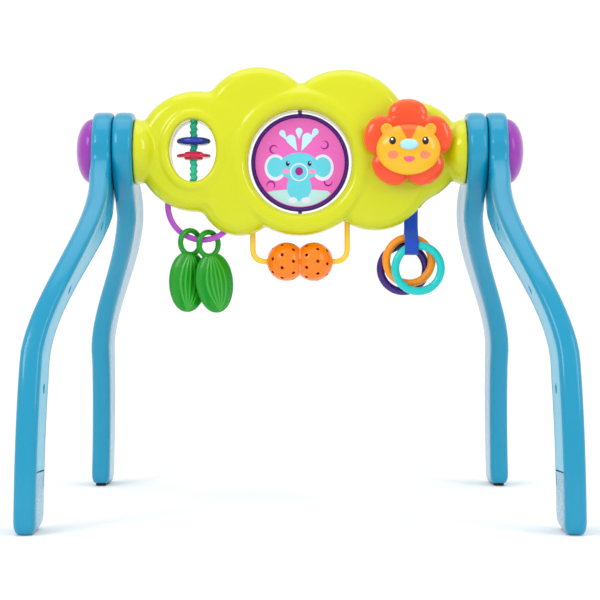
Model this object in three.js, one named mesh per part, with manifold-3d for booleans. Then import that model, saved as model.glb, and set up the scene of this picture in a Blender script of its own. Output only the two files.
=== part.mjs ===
// Folding activity gym for a baby: a cloud-shaped header panel carried by four arched legs.
// Millimetres, +Z up, the floor at Z = 0, the child looks along +Y at the front of the panel.
import * as THREE from 'three';
import { mergeVertices } from 'three/addons/utils/BufferGeometryUtils.js';
import Module from 'manifold-3d';

const wasm = await Module();
wasm.setup();

// ---------- driving dimensions ----------
const CLEARANCE = 0.3; // between pieces that touch
const RUNNING = 0.7; // radial, between a leg and its axle
const WALL = 3;

const HUB_Z = 388; // height of the fold axis
const HUB_X = 181; // half width of the header panel, where its hubs end

const LEG_THICK = 21.6;
const LEG_GAP = 0.8; // between the two legs at one hub
const LEG_WIDTH_TOP = 66;
const LEG_WIDTH_FOOT = 64;
const LEG_DISC_R = 43;
const LEG_SWEEP = 46.4; // how far a leg sweeps out sideways on its way down
const LEG_FLARE = 3; // how far it goes on flaring from there to the floor
const LEG_SWEEP_FROM = 51; // below the fold axis
const LEG_SWEEP_TO = HUB_Z - 160;
const LEG_EDGE = 6;
const LEG_NECK_RUN = 30; // a leg leaves its hub towards this point
const LEG_NECK_DROP = 100;
const LEG_BEND_DROP = 100; // below the fold axis, where it bends down
const LEG_BEND_OUT = 17; // how far that bend's corner is beyond the foot
const FOOT_Y = 216; // from the hub to the foot's middle
const FOOT_PAD = 1.5; // how far the pad stands below the leg
const PAD_THICK = 2.7;
const PAD_WIDTH = 11.4;
const PAD_LENGTH = 45.4;
const COVER_THICK = 3;
const COVER_RIM = 6.5; // from the leg's edge to its cover
const LEG_SCREW_DROPS = [85, 153, HUB_Z - 138, HUB_Z - 41]; // below the fold axis
const LEG_SCREW_R = 2;
const LEG_SCREW_HEAD_R = 4;

const AXLE_R = 12.7;
const AXLE_WALL = 3.7;
const AXLE_BORE_R = AXLE_R - AXLE_WALL;
const AXLE_DEPTH = 29; // into the panel's hub
const RING_WIDTH = 7.3; // how far the retaining ring stands out from the axle
const RING_R = AXLE_R + RING_WIDTH;
const RING_THICK = 2.8;
const BUTTON_R = 36;
const BUTTON_DOME = 20.8;
const BUTTON_TRAVEL = 5;
const STEM_END = 17; // the button's stem ends this far outside the panel's end
const BUTTON_SEAT = 7; // depth of its seat in the outer leg

const PANEL_HALF = 21; // half thickness of the panel
const PANEL_EDGE = 12; // rounding of its outline
const LEFT_LOBE_X = 67.6 - HUB_X;
const RIGHT_LOBE_X = HUB_X - 58.9;
const LOBES = [ // x, height over the fold axis, radius
  [LEFT_LOBE_X, 0, 66],
  [-45.7, 29.7, 62.7],
  [47.6, 17, 72.6],
  [RIGHT_LOBE_X, 0, 55],
  [-66, -48.4, 44],
  [82.5, -24.2, 62.2],
];
const HUB_R = 36;
const HUB_DOME = 28;

const WINDOW_R = 56.7;
const WINDOW_DROP = 12.1; // below the fold axis
const WINDOW_LIP = 23.3; // width of the raised ring round the window
const WINDOW_RING_R = WINDOW_R + WINDOW_LIP;
const WINDOW_RING_HALF = 25;
const SPINNER_GAP = 2.8; // between the spinner and its window
const SPINNER_R = WINDOW_R - SPINNER_GAP;
const SPINNER_HALF = 4;
const SPINNER_RIM = 4.6; // width of the rim round the print
const PRINT_R = SPINNER_R - SPINNER_RIM;
const PRINT_THICK = 2;
const SPINNER_PIN_R = 2.2;
const SPINNER_PIN_LENGTH = 6;

const OVAL_X = LEFT_LOBE_X - 3.5;
const OVAL_HALF_WIDTH = 25.3;
const OVAL_HALF_HEIGHT = 33.8;
const ROD_R = 4.55;
const ROD_THREAD = 1.15; // depth of its thread
const ROD_ROOT_R = ROD_R - ROD_THREAD;
const ROD_PITCH = 6.6;
const ROD_SEAT = 5; // into the window's wall
const DISC_GAP = 6.6; // between a disc and the side of its window
const DISC_R = OVAL_HALF_WIDTH - DISC_GAP;
const DISC_HALF = 4.5;
const BLUE_DISC_RISE = 11.3; // over the fold axis
const RED_DISC_RISE = -4.7;
const RED_DISC_BOSS_R = 10.5;

const FLOWER_X = RIGHT_LOBE_X - 5.5;
const FLOWER_RISE = 5.5;
const FLOWER_BACK_Y = -26;
const FLOWER_HALF = 8;
const PETAL_REACH = 33;
const PETAL_HALF_WIDTH = 22;
const PETAL_HALF_LENGTH = 16;
const MANE_R = 34;
const FACE_HALF_WIDTH = 34.6;
const FACE_HALF_HEIGHT = 27.5;
const FACE_DEPTH = 13;
const FACE_DROP = 6.6;
const EAR_R = 6;
const SPINDLE_R = 5;
const RATCHET_R = 8;
const RATCHET_TEETH = 8;

const LEAF_LOOP_X = -107.3;
const LEAF_LOOP_DROP = 58.9;
const LEAF_LOOP_R = 38;
const LEAF_LOOP_TUBE_R = 3.2;
const EYELET_R = 13.2;
const EYELET_TUBE_R = 3;
const EYELET_SLACK = 1.8; // between the loop and the top of the eyelet
const LEAF_HALF_WIDTH = 25;
const LEAF_HALF_LENGTH = 32;
const LEAF_HALF_THICK = 4.5;
const LEAF_YAW = 40; // degrees, how far a leaf is turned on its loop
const LEAVES = [ // angle on the loop from its lowest point, tilt of the leaf, both in degrees
  ['left_leaf', -18, -4],
  ['right_leaf', 9, 11],
];

const RATTLE_DROP = 120.8;
const RATTLE_R = 21.3;
const RATTLE_SPACING = 30.2; // between its two balls
const RATTLE_WALL = 2.4;
const RATTLE_LOOP_HALF = 52.3;
const RATTLE_LOOP_TUBE_R = 3;
const RATTLE_LOOP_BEND = 15;
const RATTLE_LOOP_LEFT_DROP = 84; // where its ends go into the panel
const RATTLE_LOOP_RIGHT_DROP = 74;
const BEAD_R = 3;

const STRAP_X = RIGHT_LOBE_X - 0.1;
const STRAP_WIDTH = 15;
const STRAP_HALF = 2.2;
const STRAP_PIN_DROP = 54;
const STRAP_PIN_R = 2.5;
const STRAP_LOOP_HALF = 15.7;
const STRAP_LOOP_DROP = 113.5;
const STRAP_LOOP_HEIGHT = 25;
const RING_CENTRE_R = 25;
const RING_TUBE_R = 4.4;
const RING_PITCH = 9.3;
const RINGS = [ // name, x, drop below the fold axis, place in the stack
  ['turquoise_ring', STRAP_X + 7.3, 128.4, -1],
  ['orange_ring', STRAP_X - 2.1, 119.6, 0],
  ['purple_ring', STRAP_X - 8, 128.4, 1],
];

const SHELL_SCREW_R = 1.8;
const SHELL_SCREW_HEAD_R = 3.5;
const SHELL_SCREW_REACH = 12; // each side of the parting plane
const POST_R = 5.5;
const POSTS = [ // x, height over the fold axis
  [LEFT_LOBE_X - 36.6, -25],
  [-60, 60],
  [50, 66],
  [RIGHT_LOBE_X + 21.9, 32],
  [-70, -62],
  [72, -62],
];

// ---------- helpers ----------
const HUGE = 1000;
const ROUND = 20; // faces round a turned piece
const SMALL = 8; // faces round a screw or a pin
const radians = THREE.MathUtils.degToRad;
const smooth = THREE.MathUtils.smoothstep;

/** A closed three.js geometry as a manifold solid with its faces out. */
function solid(geometry) {
  const bare = geometry.clone();
  bare.deleteAttribute('normal');
  bare.deleteAttribute('uv');
  const merged = mergeVertices(bare, 1e-3);
  const points = merged.attributes.position.array;
  const faces = [];
  const index = merged.index.array;
  let volume = 0;
  for (let i = 0; i < index.length; i += 3) {
    const [a, b, c] = [index[i], index[i + 1], index[i + 2]];
    if (a === b || b === c || c === a) continue;
    faces.push(a, b, c);
    const corner = [a, b, c].map((k) => new THREE.Vector3().fromArray(points, 3 * k));
    volume += corner[0].dot(corner[1].cross(corner[2]));
  }
  if (volume < 0) faces.reverse();
  const mesh = new wasm.Mesh({
    numProp: 3,
    vertProperties: Float32Array.from(points),
    triVerts: Uint32Array.from(faces),
  });
  return new wasm.Manifold(mesh);
}

/** The boundary of a manifold solid as a three.js geometry. */
function boundary(body) {
  const { vertProperties, triVerts } = body.getMesh();
  const geometry = new THREE.BufferGeometry();
  geometry.setAttribute('position', new THREE.BufferAttribute(vertProperties, 3));
  geometry.setIndex(new THREE.BufferAttribute(triVerts, 1));
  geometry.computeVertexNormals();
  return geometry;
}

const join = (bodies) => bodies.reduce((all, body) => all.add(body));
const mirrorX = (body) => body.mirror([1, 0, 0]);
const mirrorY = (body) => body.mirror([0, 1, 0]);

/** A profile of [radius, height] turned about X, Y or Z. */
function turned(axis, profile, segments = ROUND) {
  const points = profile.map(([r, h]) => new THREE.Vector2(r, h));
  const geometry = new THREE.LatheGeometry(points, segments);
  if (axis === 'x') geometry.rotateZ(-Math.PI / 2);
  if (axis === 'z') geometry.rotateX(Math.PI / 2);
  return solid(geometry);
}

/** A cylinder or a tube about an axis, between two heights on it. */
function rod(axis, radius, from, to, bore = 0, segments = ROUND) {
  const inner = bore > 0 ? bore : 0;
  const profile = [[inner, from], [radius, from], [radius, to], [inner, to]];
  if (bore > 0) profile.push([inner, from]);
  return turned(axis, profile, segments);
}

function block(x0, x1, y0, y1, z0, z1) {
  const geometry = new THREE.BoxGeometry(x1 - x0, y1 - y0, z1 - z0);
  geometry.translate((x0 + x1) / 2, (y0 + y1) / 2, (z0 + z1) / 2);
  return solid(geometry);
}

function ellipsoid(a, b, c, around = 16, up = 8) {
  const geometry = new THREE.SphereGeometry(1, around, up);
  geometry.scale(a, b, c);
  return solid(geometry);
}

/** A ring of round section about an axis. */
function torus(axis, radius, tube, around = ROUND, sides = 8) {
  const profile = [];
  for (let i = 0; i <= sides; i += 1) {
    const angle = (2 * Math.PI * (i % sides)) / sides;
    profile.push([radius + tube * Math.cos(angle), tube * Math.sin(angle)]);
  }
  return turned(axis, profile, around);
}

function circle(radius, sides) {
  const points = [];
  for (let i = 0; i < sides; i += 1) {
    const angle = (2 * Math.PI * i) / sides;
    points.push(new THREE.Vector2(radius * Math.cos(angle), radius * Math.sin(angle)));
  }
  return new THREE.Shape(points);
}

/** A round bar along a curve. */
function bar(curve, radius, steps, sides = 8) {
  const settings = { steps, extrudePath: curve, bevelEnabled: false };
  return solid(new THREE.ExtrudeGeometry(circle(radius, sides), settings));
}

/** A closed skin through equal rings of points, with flat ends. */
function loft(rings) {
  const count = rings[0].length;
  const points = rings.flat();
  const faces = [];
  for (let k = 0; k + 1 < rings.length; k += 1) {
    for (let i = 0; i < count; i += 1) {
      const a = k * count + i;
      const b = k * count + ((i + 1) % count);
      faces.push(a, b, a + count, b, b + count, a + count);
    }
  }
  const last = (rings.length - 1) * count;
  for (let i = 1; i + 1 < count; i += 1) {
    faces.push(0, i + 1, i);
    faces.push(last, last + i, last + i + 1);
  }
  const geometry = new THREE.BufferGeometry().setFromPoints(points);
  geometry.setIndex(faces);
  return solid(geometry);
}

const group = new THREE.Group();

function add(name, body, color, { rough = 0.3, metal = 0 } = {}) {
  const material = new THREE.MeshStandardMaterial({ color, roughness: rough, metalness: metal });
  const mesh = new THREE.Mesh(boundary(body), material);
  mesh.name = name;
  group.add(mesh);
}

// ---------- colours ----------
const LIME = 0xd6e600;
const CYAN = 0x00a0cd;
const PURPLE = 0x9632aa;
const STEEL = 0xb0b4b8;

// ---------- places along X at a hub ----------
const innerLegX = HUB_X + 2 * CLEARANCE + LEG_THICK / 2;
const outerLegX = innerLegX + LEG_THICK + LEG_GAP;
const outerFaceX = outerLegX + LEG_THICK / 2;
const buttonSeatX = outerFaceX - BUTTON_SEAT;
const ringSeatX = buttonSeatX - RING_THICK - 2 * CLEARANCE;
const axleInX = HUB_X - AXLE_DEPTH;
const buttonBaseX = buttonSeatX + BUTTON_TRAVEL + 2 * CLEARANCE;
const stemEndX = HUB_X + STEM_END;

// ---------- legs ----------
const legTop = new THREE.Vector2(0, HUB_Z);
const legCurve = new THREE.CubicBezierCurve(
  legTop,
  new THREE.Vector2(LEG_NECK_RUN, HUB_Z - LEG_NECK_DROP),
  new THREE.Vector2(FOOT_Y + LEG_BEND_OUT, HUB_Z - LEG_BEND_DROP),
  new THREE.Vector2(FOOT_Y, FOOT_PAD),
);

const LEG_STEPS = 10;

/** The leg's section at one of its steps: its middle, its outward direction and how far aside it is. */
const legSteps = Array.from({ length: LEG_STEPS + 1 }, (_, i) => {
  const t = i / LEG_STEPS;
  const middle = legCurve.getPoint(t);
  const along = legCurve.getTangent(t);
  const across = new THREE.Vector2(-along.y, along.x);
  const drop = HUB_Z - middle.y;
  const asideAt = (below) => LEG_SWEEP * smooth(below, LEG_SWEEP_FROM, LEG_SWEEP_TO)
    + LEG_FLARE * THREE.MathUtils.clamp((below - LEG_SWEEP_TO) / (HUB_Z - FOOT_PAD - LEG_SWEEP_TO), 0, 1);
  const lean = (asideAt(drop + 1) - asideAt(drop - 1)) / 2;
  return { middle, across, aside: asideAt(drop), lean };
});

/** A section anywhere on the leg, which runs straight from step to step. */
function legStation(t) {
  const step = Math.min(LEG_STEPS - 1, Math.floor(t * LEG_STEPS));
  const share = t * LEG_STEPS - step;
  const [a, b] = [legSteps[step], legSteps[step + 1]];
  return {
    middle: a.middle.clone().lerp(b.middle, share),
    across: a.across.clone().lerp(b.across, share),
    aside: THREE.MathUtils.lerp(a.aside, b.aside, share),
    lean: THREE.MathUtils.lerp(a.lean, b.lean, share),
    half: THREE.MathUtils.lerp(LEG_WIDTH_TOP, LEG_WIDTH_FOOT, t) / 2,
  };
}

/** A ring round one section, from low to high in X, with its corners cut back by edge. */
function legRing(station, half, low, high, edge) {
  const corners = [];
  const turns = edge > 0 ? [0, 1] : [0];
  const signs = [[1, 1], [-1, 1], [-1, -1], [1, -1]];
  signs.forEach(([sideways, upward], corner) => {
    turns.forEach((turn) => {
      const angle = (Math.PI / 2) * (corner % 2 === 0 ? turn : 1 - turn);
      const u = sideways * (half - edge + edge * Math.cos(angle));
      const mid = upward > 0 ? high - edge : low + edge;
      const v = mid + upward * edge * Math.sin(angle);
      corners.push(new THREE.Vector3(
        v + station.aside - station.lean * station.across.y * u,
        station.middle.x + station.across.x * u,
        station.middle.y + station.across.y * u,
      ));
    });
  });
  return corners;
}

/** A length of the leg, inset from its sides, from low to high in X. */
function legSolid(from, to, inset, low, high, edge, rounded) {
  const places = [from];
  for (let i = Math.ceil(from * LEG_STEPS + 0.1); i < to * LEG_STEPS - 0.1; i += 1) {
    places.push(i / LEG_STEPS);
  }
  places.push(to);
  const rings = places.map((t) => {
    const station = legStation(t);
    return legRing(station, station.half - inset, low, high, edge);
  });
  if (rounded) {
    [[0.985, 1.5, 0.4], [0.995, 4, 1.6], [1, 7.5, 3]].forEach(([t, narrow, thin]) => {
      const station = legStation(t);
      rings.push(legRing(station, station.half - inset - narrow, low + thin, high - thin, edge));
    });
  }
  return loft(rings);
}

const halfLeg = LEG_THICK / 2;
const footAside = LEG_SWEEP + LEG_FLARE;
const steepest = Math.max(...legSteps.map(({ lean }) => lean));
const postDrop = COVER_THICK + 3 * CLEARANCE + steepest * LEG_SCREW_HEAD_R; // clear of the leaning cover
const LEG_COVER_FROM = 0.3;
const LEG_COVER_TO = 0.93;
const atHub = (body) => body.translate([0, 0, HUB_Z]);

/** The section whose middle is at a drop below the fold axis. */
function stationAtDrop(drop) {
  let low = 0;
  let high = 1;
  for (let i = 0; i < 30; i += 1) {
    const t = (low + high) / 2;
    if (HUB_Z - legStation(t).middle.y < drop) low = t;
    else high = t;
  }
  return legStation(low);
}

/** A hole or a screw along X at each of the leg's four screw places. */
function atLegScrews(make) {
  return join(LEG_SCREW_DROPS.map((drop) => {
    const { middle, aside } = stationAtDrop(drop);
    return make().translate([aside, middle.x, middle.y]);
  }));
}

/**
 * One leg in its own frame: X = 0 is its mid thickness at the hub, it leans towards +Y, and its
 * cover is on the side that coverSide says, -1 for the child's side and 1 for the outside.
 */
function legPieces(coverSide, isOuter) {
  const coverFace = coverSide * halfLeg;
  const sides = (a, b) => [Math.min(a, b), Math.max(a, b)];
  let shell = legSolid(0.03, 0.97, 0, -halfLeg, halfLeg, LEG_EDGE, true);
  const e = LEG_EDGE;
  shell = shell.add(atHub(turned('x', [
    [0, -halfLeg], [LEG_DISC_R - e, -halfLeg], [LEG_DISC_R, e - halfLeg],
    [LEG_DISC_R, halfLeg - e], [LEG_DISC_R - e, halfLeg], [0, halfLeg],
  ])));
  const hollow = sides(coverFace + coverSide, -coverFace + coverSide * WALL);
  const rim = COVER_RIM - CLEARANCE;
  shell = shell.subtract(legSolid(LEG_COVER_FROM, LEG_COVER_TO, rim, ...hollow, 0, false));
  shell = shell.add(atLegScrews(() => {
    const [from, to] = sides(-coverFace + coverSide * WALL * 0.5, coverFace - coverSide * postDrop);
    return rod('x', LEG_SCREW_HEAD_R, from, to, LEG_SCREW_R + CLEARANCE, 6);
  }));
  shell = shell.subtract(atHub(rod('x', AXLE_R + RUNNING, -HUGE, HUGE)));
  if (isOuter) {
    const seat = buttonSeatX - outerLegX;
    shell = shell.subtract(atHub(rod('x', BUTTON_R + 2 * CLEARANCE, seat, HUGE)));
    shell = shell.subtract(atHub(rod('x', RING_R + RUNNING, ringSeatX - outerLegX, HUGE)));
  }
  const padHole = [PAD_WIDTH / 2 + CLEARANCE, PAD_LENGTH / 2 + CLEARANCE];
  shell = shell.subtract(block(
    footAside - padHole[0], footAside + padHole[0],
    FOOT_Y - padHole[1], FOOT_Y + padHole[1], -HUGE, PAD_THICK + CLEARANCE,
  ));
  const plate = sides(coverFace - coverSide * CLEARANCE, coverFace - coverSide * (CLEARANCE + COVER_THICK));
  const start = LEG_COVER_FROM + 0.002;
  const end = LEG_COVER_TO - 0.002;
  let cover = legSolid(start, end, COVER_RIM, ...plate, 0, false);
  cover = cover.subtract(atLegScrews(() => rod('x', LEG_SCREW_R + CLEARANCE, -HUGE, HUGE, 0, 6)));
  const pad = block(
    footAside - PAD_WIDTH / 2, footAside + PAD_WIDTH / 2,
    FOOT_Y - PAD_LENGTH / 2, FOOT_Y + PAD_LENGTH / 2, 0, PAD_THICK,
  );
  return { shell, cover, pad };
}

// The same moulding serves in front and at the rear, so the covers of the front legs face in
// and those of the rear legs face out.
const frontLeg = legPieces(-1, true);
const rearLeg = legPieces(1, false);
[['right', 1], ['left', -1]].forEach(([side, sign]) => {
  [['front', frontLeg, outerLegX], ['rear', rearLeg, innerLegX]].forEach(([end, leg, x]) => {
    const placed = (body) => {
      const moved = (end === 'front' ? mirrorY(body) : body).translate([x, 0, 0]);
      return sign > 0 ? moved : mirrorX(moved);
    };
    add(`${end}_${side}_leg_shell`, placed(leg.shell), CYAN);
    add(`${end}_${side}_leg_cover`, placed(leg.cover), 0x18b0d8);
    add(`${end}_${side}_foot_pad`, placed(leg.pad), 0x2a3034, { rough: 0.8 });
  });
});

// ---------- hubs ----------
function hubPieces() {
  const axle = turned('x', [
    [0, axleInX], [AXLE_R, axleInX], [AXLE_R, buttonSeatX], [AXLE_BORE_R, buttonSeatX],
    [AXLE_BORE_R, axleInX + WALL], [0, axleInX + WALL],
  ], 16);
  const ringFrom = buttonSeatX - RING_THICK - CLEARANCE;
  const ring = rod('x', RING_R, ringFrom, buttonSeatX - CLEARANCE, AXLE_R + CLEARANCE, 16);
  const stemR = AXLE_BORE_R - 2 * CLEARANCE;
  const profile = [[0, stemEndX], [stemR, stemEndX]];
  const hollowR = BUTTON_R - WALL;
  const hollowDome = BUTTON_DOME - WALL;
  [1, 0.6, 0.3, 0].forEach((step) => {
    const r = stemR + (hollowR - stemR) * (1 - step);
    profile.push([r, buttonBaseX + hollowDome * Math.sqrt(Math.max(0, 1 - (r / hollowR) ** 2))]);
  });
  for (let i = 0; i <= 5; i += 1) {
    const angle = (Math.PI / 2) * (i / 5);
    profile.push([BUTTON_R * Math.cos(angle), buttonBaseX + BUTTON_DOME * Math.sin(angle)]);
  }
  const button = turned('x', profile);
  const coilR = stemR - 1.6;
  const turns = 3;
  const coil = new THREE.Curve();
  const from = axleInX + WALL + 1.4;
  const to = stemEndX - 1.4;
  coil.getPoint = (t) => {
    const angle = 2 * Math.PI * turns * t;
    const x = THREE.MathUtils.lerp(from, to, t);
    return new THREE.Vector3(x, coilR * Math.cos(angle), coilR * Math.sin(angle));
  };
  const spring = bar(coil, 0.8, turns * 8, 4);
  return { axle, ring, button, spring };
}

const hub = hubPieces();
[['right', 1], ['left', -1]].forEach(([side, sign]) => {
  const placed = (body) => atHub(sign > 0 ? body : mirrorX(body));
  add(`${side}_pivot_axle`, placed(hub.axle), STEEL, { rough: 0.35, metal: 0.8 });
  add(`${side}_retaining_ring`, placed(hub.ring), STEEL, { rough: 0.35, metal: 0.8 });
  add(`${side}_release_button`, placed(hub.button), PURPLE);
  add(`${side}_button_spring`, placed(hub.spring), STEEL, { rough: 0.35, metal: 0.8 });
});

// ---------- header panel ----------
const windowZ = HUB_Z - WINDOW_DROP;
const flowerZ = HUB_Z + FLOWER_RISE;
const leafLoopZ = HUB_Z - LEAF_LOOP_DROP;
const rattleZ = HUB_Z - RATTLE_DROP;
const strapPinZ = HUB_Z - STRAP_PIN_DROP;

/** A round pad about Y with rounded edges, the panel's lobe. */
function lobe(radius, half, edge, segments) {
  const bevel = [0, 0.5, 1].map((turn) => {
    const angle = (Math.PI / 2) * turn;
    return [radius - edge + edge * Math.sin(angle), half - edge + edge * Math.cos(angle)];
  });
  const upper = bevel.map(([r, h]) => [r, h]);
  const lower = bevel.map(([r, h]) => [r, -h]).reverse();
  return turned('y', [[0, half], ...upper, ...lower, [0, -half]], segments);
}

/** An upright oval bar about Y. */
function oval(halfWidth, halfHeight, segments = ROUND) {
  const geometry = new THREE.CylinderGeometry(1, 1, 2 * HUGE, segments);
  geometry.scale(halfWidth, 1, halfHeight);
  return solid(geometry).translate([OVAL_X, 0, HUB_Z]);
}

const leafLoopCurve = new THREE.Curve();
const LEAF_LOOP_FROM = -105; // degrees from the loop's lowest point
const LEAF_LOOP_TO = 55;
const LEAF_LOOP_STEPS = 14;
const RATTLE_LOOP_STEPS = 30;
const onLeafLoop = (angle) => new THREE.Vector3(
  LEAF_LOOP_X + LEAF_LOOP_R * Math.sin(angle), 0, leafLoopZ - LEAF_LOOP_R * Math.cos(angle),
);
leafLoopCurve.getPoint = (t) => onLeafLoop(radians(THREE.MathUtils.lerp(LEAF_LOOP_FROM, LEAF_LOOP_TO, t)));
const leafLoop = bar(leafLoopCurve, LEAF_LOOP_TUBE_R, LEAF_LOOP_STEPS);

const rattleLoopTop = { left: HUB_Z - RATTLE_LOOP_LEFT_DROP, right: HUB_Z - RATTLE_LOOP_RIGHT_DROP };

function rattleLoopPath() {
  const path = new THREE.CurvePath();
  const side = RATTLE_LOOP_HALF;
  const bend = RATTLE_LOOP_BEND;
  const point = (x, z) => new THREE.Vector3(x, 0, z);
  path.add(new THREE.LineCurve3(point(-side, rattleLoopTop.left), point(-side, rattleZ + bend)));
  path.add(new THREE.QuadraticBezierCurve3(
    point(-side, rattleZ + bend), point(-side, rattleZ), point(bend - side, rattleZ),
  ));
  path.add(new THREE.LineCurve3(point(bend - side, rattleZ), point(side - bend, rattleZ)));
  path.add(new THREE.QuadraticBezierCurve3(
    point(side - bend, rattleZ), point(side, rattleZ), point(side, rattleZ + bend),
  ));
  path.add(new THREE.LineCurve3(point(side, rattleZ + bend), point(side, rattleLoopTop.right)));
  return path;
}
const rattleLoopCurve = rattleLoopPath();
const rattleLoop = bar(rattleLoopCurve, RATTLE_LOOP_TUBE_R, RATTLE_LOOP_STEPS, 6);

function loopSocket(curve, t, radius) {
  const end = curve.getPoint(t);
  return ellipsoid(radius, radius, radius, 6, 4).translate([end.x, 0, end.z]);
}

function panelOutside() {
  const lobes = LOBES.map(([x, z, r]) => lobe(r, PANEL_HALF, PANEL_EDGE, ROUND).translate([x, 0, HUB_Z + z]));
  const ring = lobe(WINDOW_RING_R, WINDOW_RING_HALF, PANEL_EDGE, 28).translate([0, 0, windowZ]);
  const dome = ellipsoid(HUB_DOME, HUB_R, HUB_R, 16, 8).translate([HUB_X, 0, HUB_Z]);
  const hubEnd = dome.subtract(block(HUB_X, HUGE, -HUGE, HUGE, -HUGE, HUGE));
  return join([...lobes, ring, hubEnd, mirrorX(hubEnd)]);
}

function panelInside() {
  const half = PANEL_HALF - WALL;
  const inset = WALL + PANEL_EDGE / 3;
  const lobes = LOBES.map(([x, z, r]) => rod('y', r - inset, -half, half, 0, 10).translate([x, 0, HUB_Z + z]));
  const kept = [
    rod('y', WINDOW_R + 6, -HUGE, HUGE, 0, 14).translate([0, 0, windowZ]),
    oval(OVAL_HALF_WIDTH + 5, OVAL_HALF_HEIGHT + 5, 12),
    atHub(rod('x', AXLE_R + 4, axleInX - 7, HUGE, 0, SMALL)),
    atHub(rod('x', AXLE_R + 4, -HUGE, 7 - axleInX, 0, SMALL)),
    block(
      STRAP_X - STRAP_WIDTH, STRAP_X + STRAP_WIDTH, -HUGE, HUGE, -HUGE, strapPinZ + 12,
    ),
    loopSocket(leafLoopCurve, 0, 9),
    loopSocket(leafLoopCurve, 1, 9),
    loopSocket(rattleLoopCurve, 0, 9),
    loopSocket(rattleLoopCurve, 1, 9),
    ...POSTS.map(([x, z]) => rod('y', POST_R, -HUGE, HUGE, 0, 6).translate([x, 0, HUB_Z + z])),
  ];
  return join(lobes).subtract(join(kept));
}

function panelHoles() {
  const ovalHole = oval(OVAL_HALF_WIDTH, OVAL_HALF_HEIGHT);
  const windowHole = rod('y', WINDOW_R, -HUGE, HUGE, 0, 28).translate([0, 0, windowZ]);
  const pinReach = SPINNER_R + SPINNER_PIN_LENGTH + CLEARANCE;
  const pinHole = rod('z', SPINNER_PIN_R + CLEARANCE, -pinReach, pinReach, 0, SMALL).translate([0, 0, windowZ]);
  const rodReach = OVAL_HALF_HEIGHT + ROD_SEAT + CLEARANCE;
  const rodHole = rod('z', ROD_R + CLEARANCE, -rodReach, rodReach, 0, 10).translate([OVAL_X, 0, HUB_Z]);
  const axleHole = atHub(rod('x', AXLE_R + CLEARANCE, axleInX - CLEARANCE, HUGE, 0, 16));
  const spindleHole = rod('y', SPINDLE_R + RUNNING, -HUGE, 0, 0, 12).translate([FLOWER_X, 0, flowerZ]);
  const strapPocket = block(
    STRAP_X - STRAP_WIDTH / 2 - 1.5, STRAP_X + STRAP_WIDTH / 2 + 1.5, -10, 10, -HUGE, strapPinZ + 8,
  );
  const pinHalf = STRAP_WIDTH / 2 + 5;
  const strapPinHole = rod('x', STRAP_PIN_R + CLEARANCE, -pinHalf - CLEARANCE, pinHalf + CLEARANCE, 0, SMALL);
  const shellScrews = POSTS.map(([x, z]) => {
    const shank = rod('y', SHELL_SCREW_R + CLEARANCE, -SHELL_SCREW_REACH - 1, HUGE, 0, 6);
    const head = rod('y', SHELL_SCREW_HEAD_R + CLEARANCE, SHELL_SCREW_REACH - CLEARANCE, HUGE, 0, 6);
    return shank.add(head).translate([x, 0, HUB_Z + z]);
  });
  return join([
    ovalHole, windowHole, pinHole, rodHole, axleHole, mirrorX(axleHole), spindleHole, strapPocket,
    strapPinHole.translate([STRAP_X, 0, strapPinZ]), ...shellScrews,
    bar(leafLoopCurve, LEAF_LOOP_TUBE_R + CLEARANCE, LEAF_LOOP_STEPS),
    bar(rattleLoopCurve, RATTLE_LOOP_TUBE_R + CLEARANCE, RATTLE_LOOP_STEPS, 6),
    loopSocket(leafLoopCurve, 0, LEAF_LOOP_TUBE_R + 1),
    loopSocket(leafLoopCurve, 1, LEAF_LOOP_TUBE_R + 1),
    loopSocket(rattleLoopCurve, 0, RATTLE_LOOP_TUBE_R + 1),
    loopSocket(rattleLoopCurve, 1, RATTLE_LOOP_TUBE_R + 1),
  ]);
}

const panel = panelOutside().subtract(panelInside()).subtract(panelHoles());
const halfGap = CLEARANCE / 2;
add('front_shell', panel.intersect(block(-HUGE, HUGE, -HUGE, -halfGap, -HUGE, HUGE)), LIME);
add('rear_shell', panel.intersect(block(-HUGE, HUGE, halfGap, HUGE, -HUGE, HUGE)), LIME);

function shellScrew() {
  const shank = rod('y', SHELL_SCREW_R, -SHELL_SCREW_REACH, SHELL_SCREW_REACH + 1, 0, 6);
  const head = rod('y', SHELL_SCREW_HEAD_R, SHELL_SCREW_REACH, SHELL_SCREW_REACH + 2.5, 0, 6);
  return shank.add(head);
}
POSTS.forEach(([x, z], i) => {
  const place = shellScrew().translate([x, 0, HUB_Z + z]);
  add(`shell_screw_${i + 1}`, place, STEEL, { rough: 0.35, metal: 0.8 });
});

// ---------- spinner ----------
const pinLine = SPINNER_R + SPINNER_PIN_LENGTH;
const seatR = PRINT_R + CLEARANCE;
const web = 0.5;
const rimProfile = [
  [0, -web], [seatR, -web], [seatR + 0.6, -SPINNER_HALF], [SPINNER_R - 1.2, 1 - SPINNER_HALF],
  [SPINNER_R, 0], [SPINNER_R - 1.2, SPINNER_HALF - 1], [seatR + 0.6, SPINNER_HALF],
  [seatR, web], [0, web],
];
const spinnerPin = (from, to) => rod('z', SPINNER_PIN_R, from, to, 0, SMALL);
const pins = [spinnerPin(SPINNER_R - 2, pinLine), spinnerPin(-pinLine, 2 - SPINNER_R)];
const rim = join([turned('y', rimProfile, 32), ...pins]).translate([0, 0, windowZ]);
add('spinner_rim', rim, 0x4b1496);
[['front', -1], ['rear', 1]].forEach(([face, sign]) => {
  const from = sign * (web + CLEARANCE);
  const to = sign * (web + CLEARANCE + PRINT_THICK);
  const disc = rod('y', PRINT_R, Math.min(from, to), Math.max(from, to), 0, 32);
  add(`spinner_print_${face}`, disc.translate([0, 0, windowZ]), 0xe664be);
});

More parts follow.
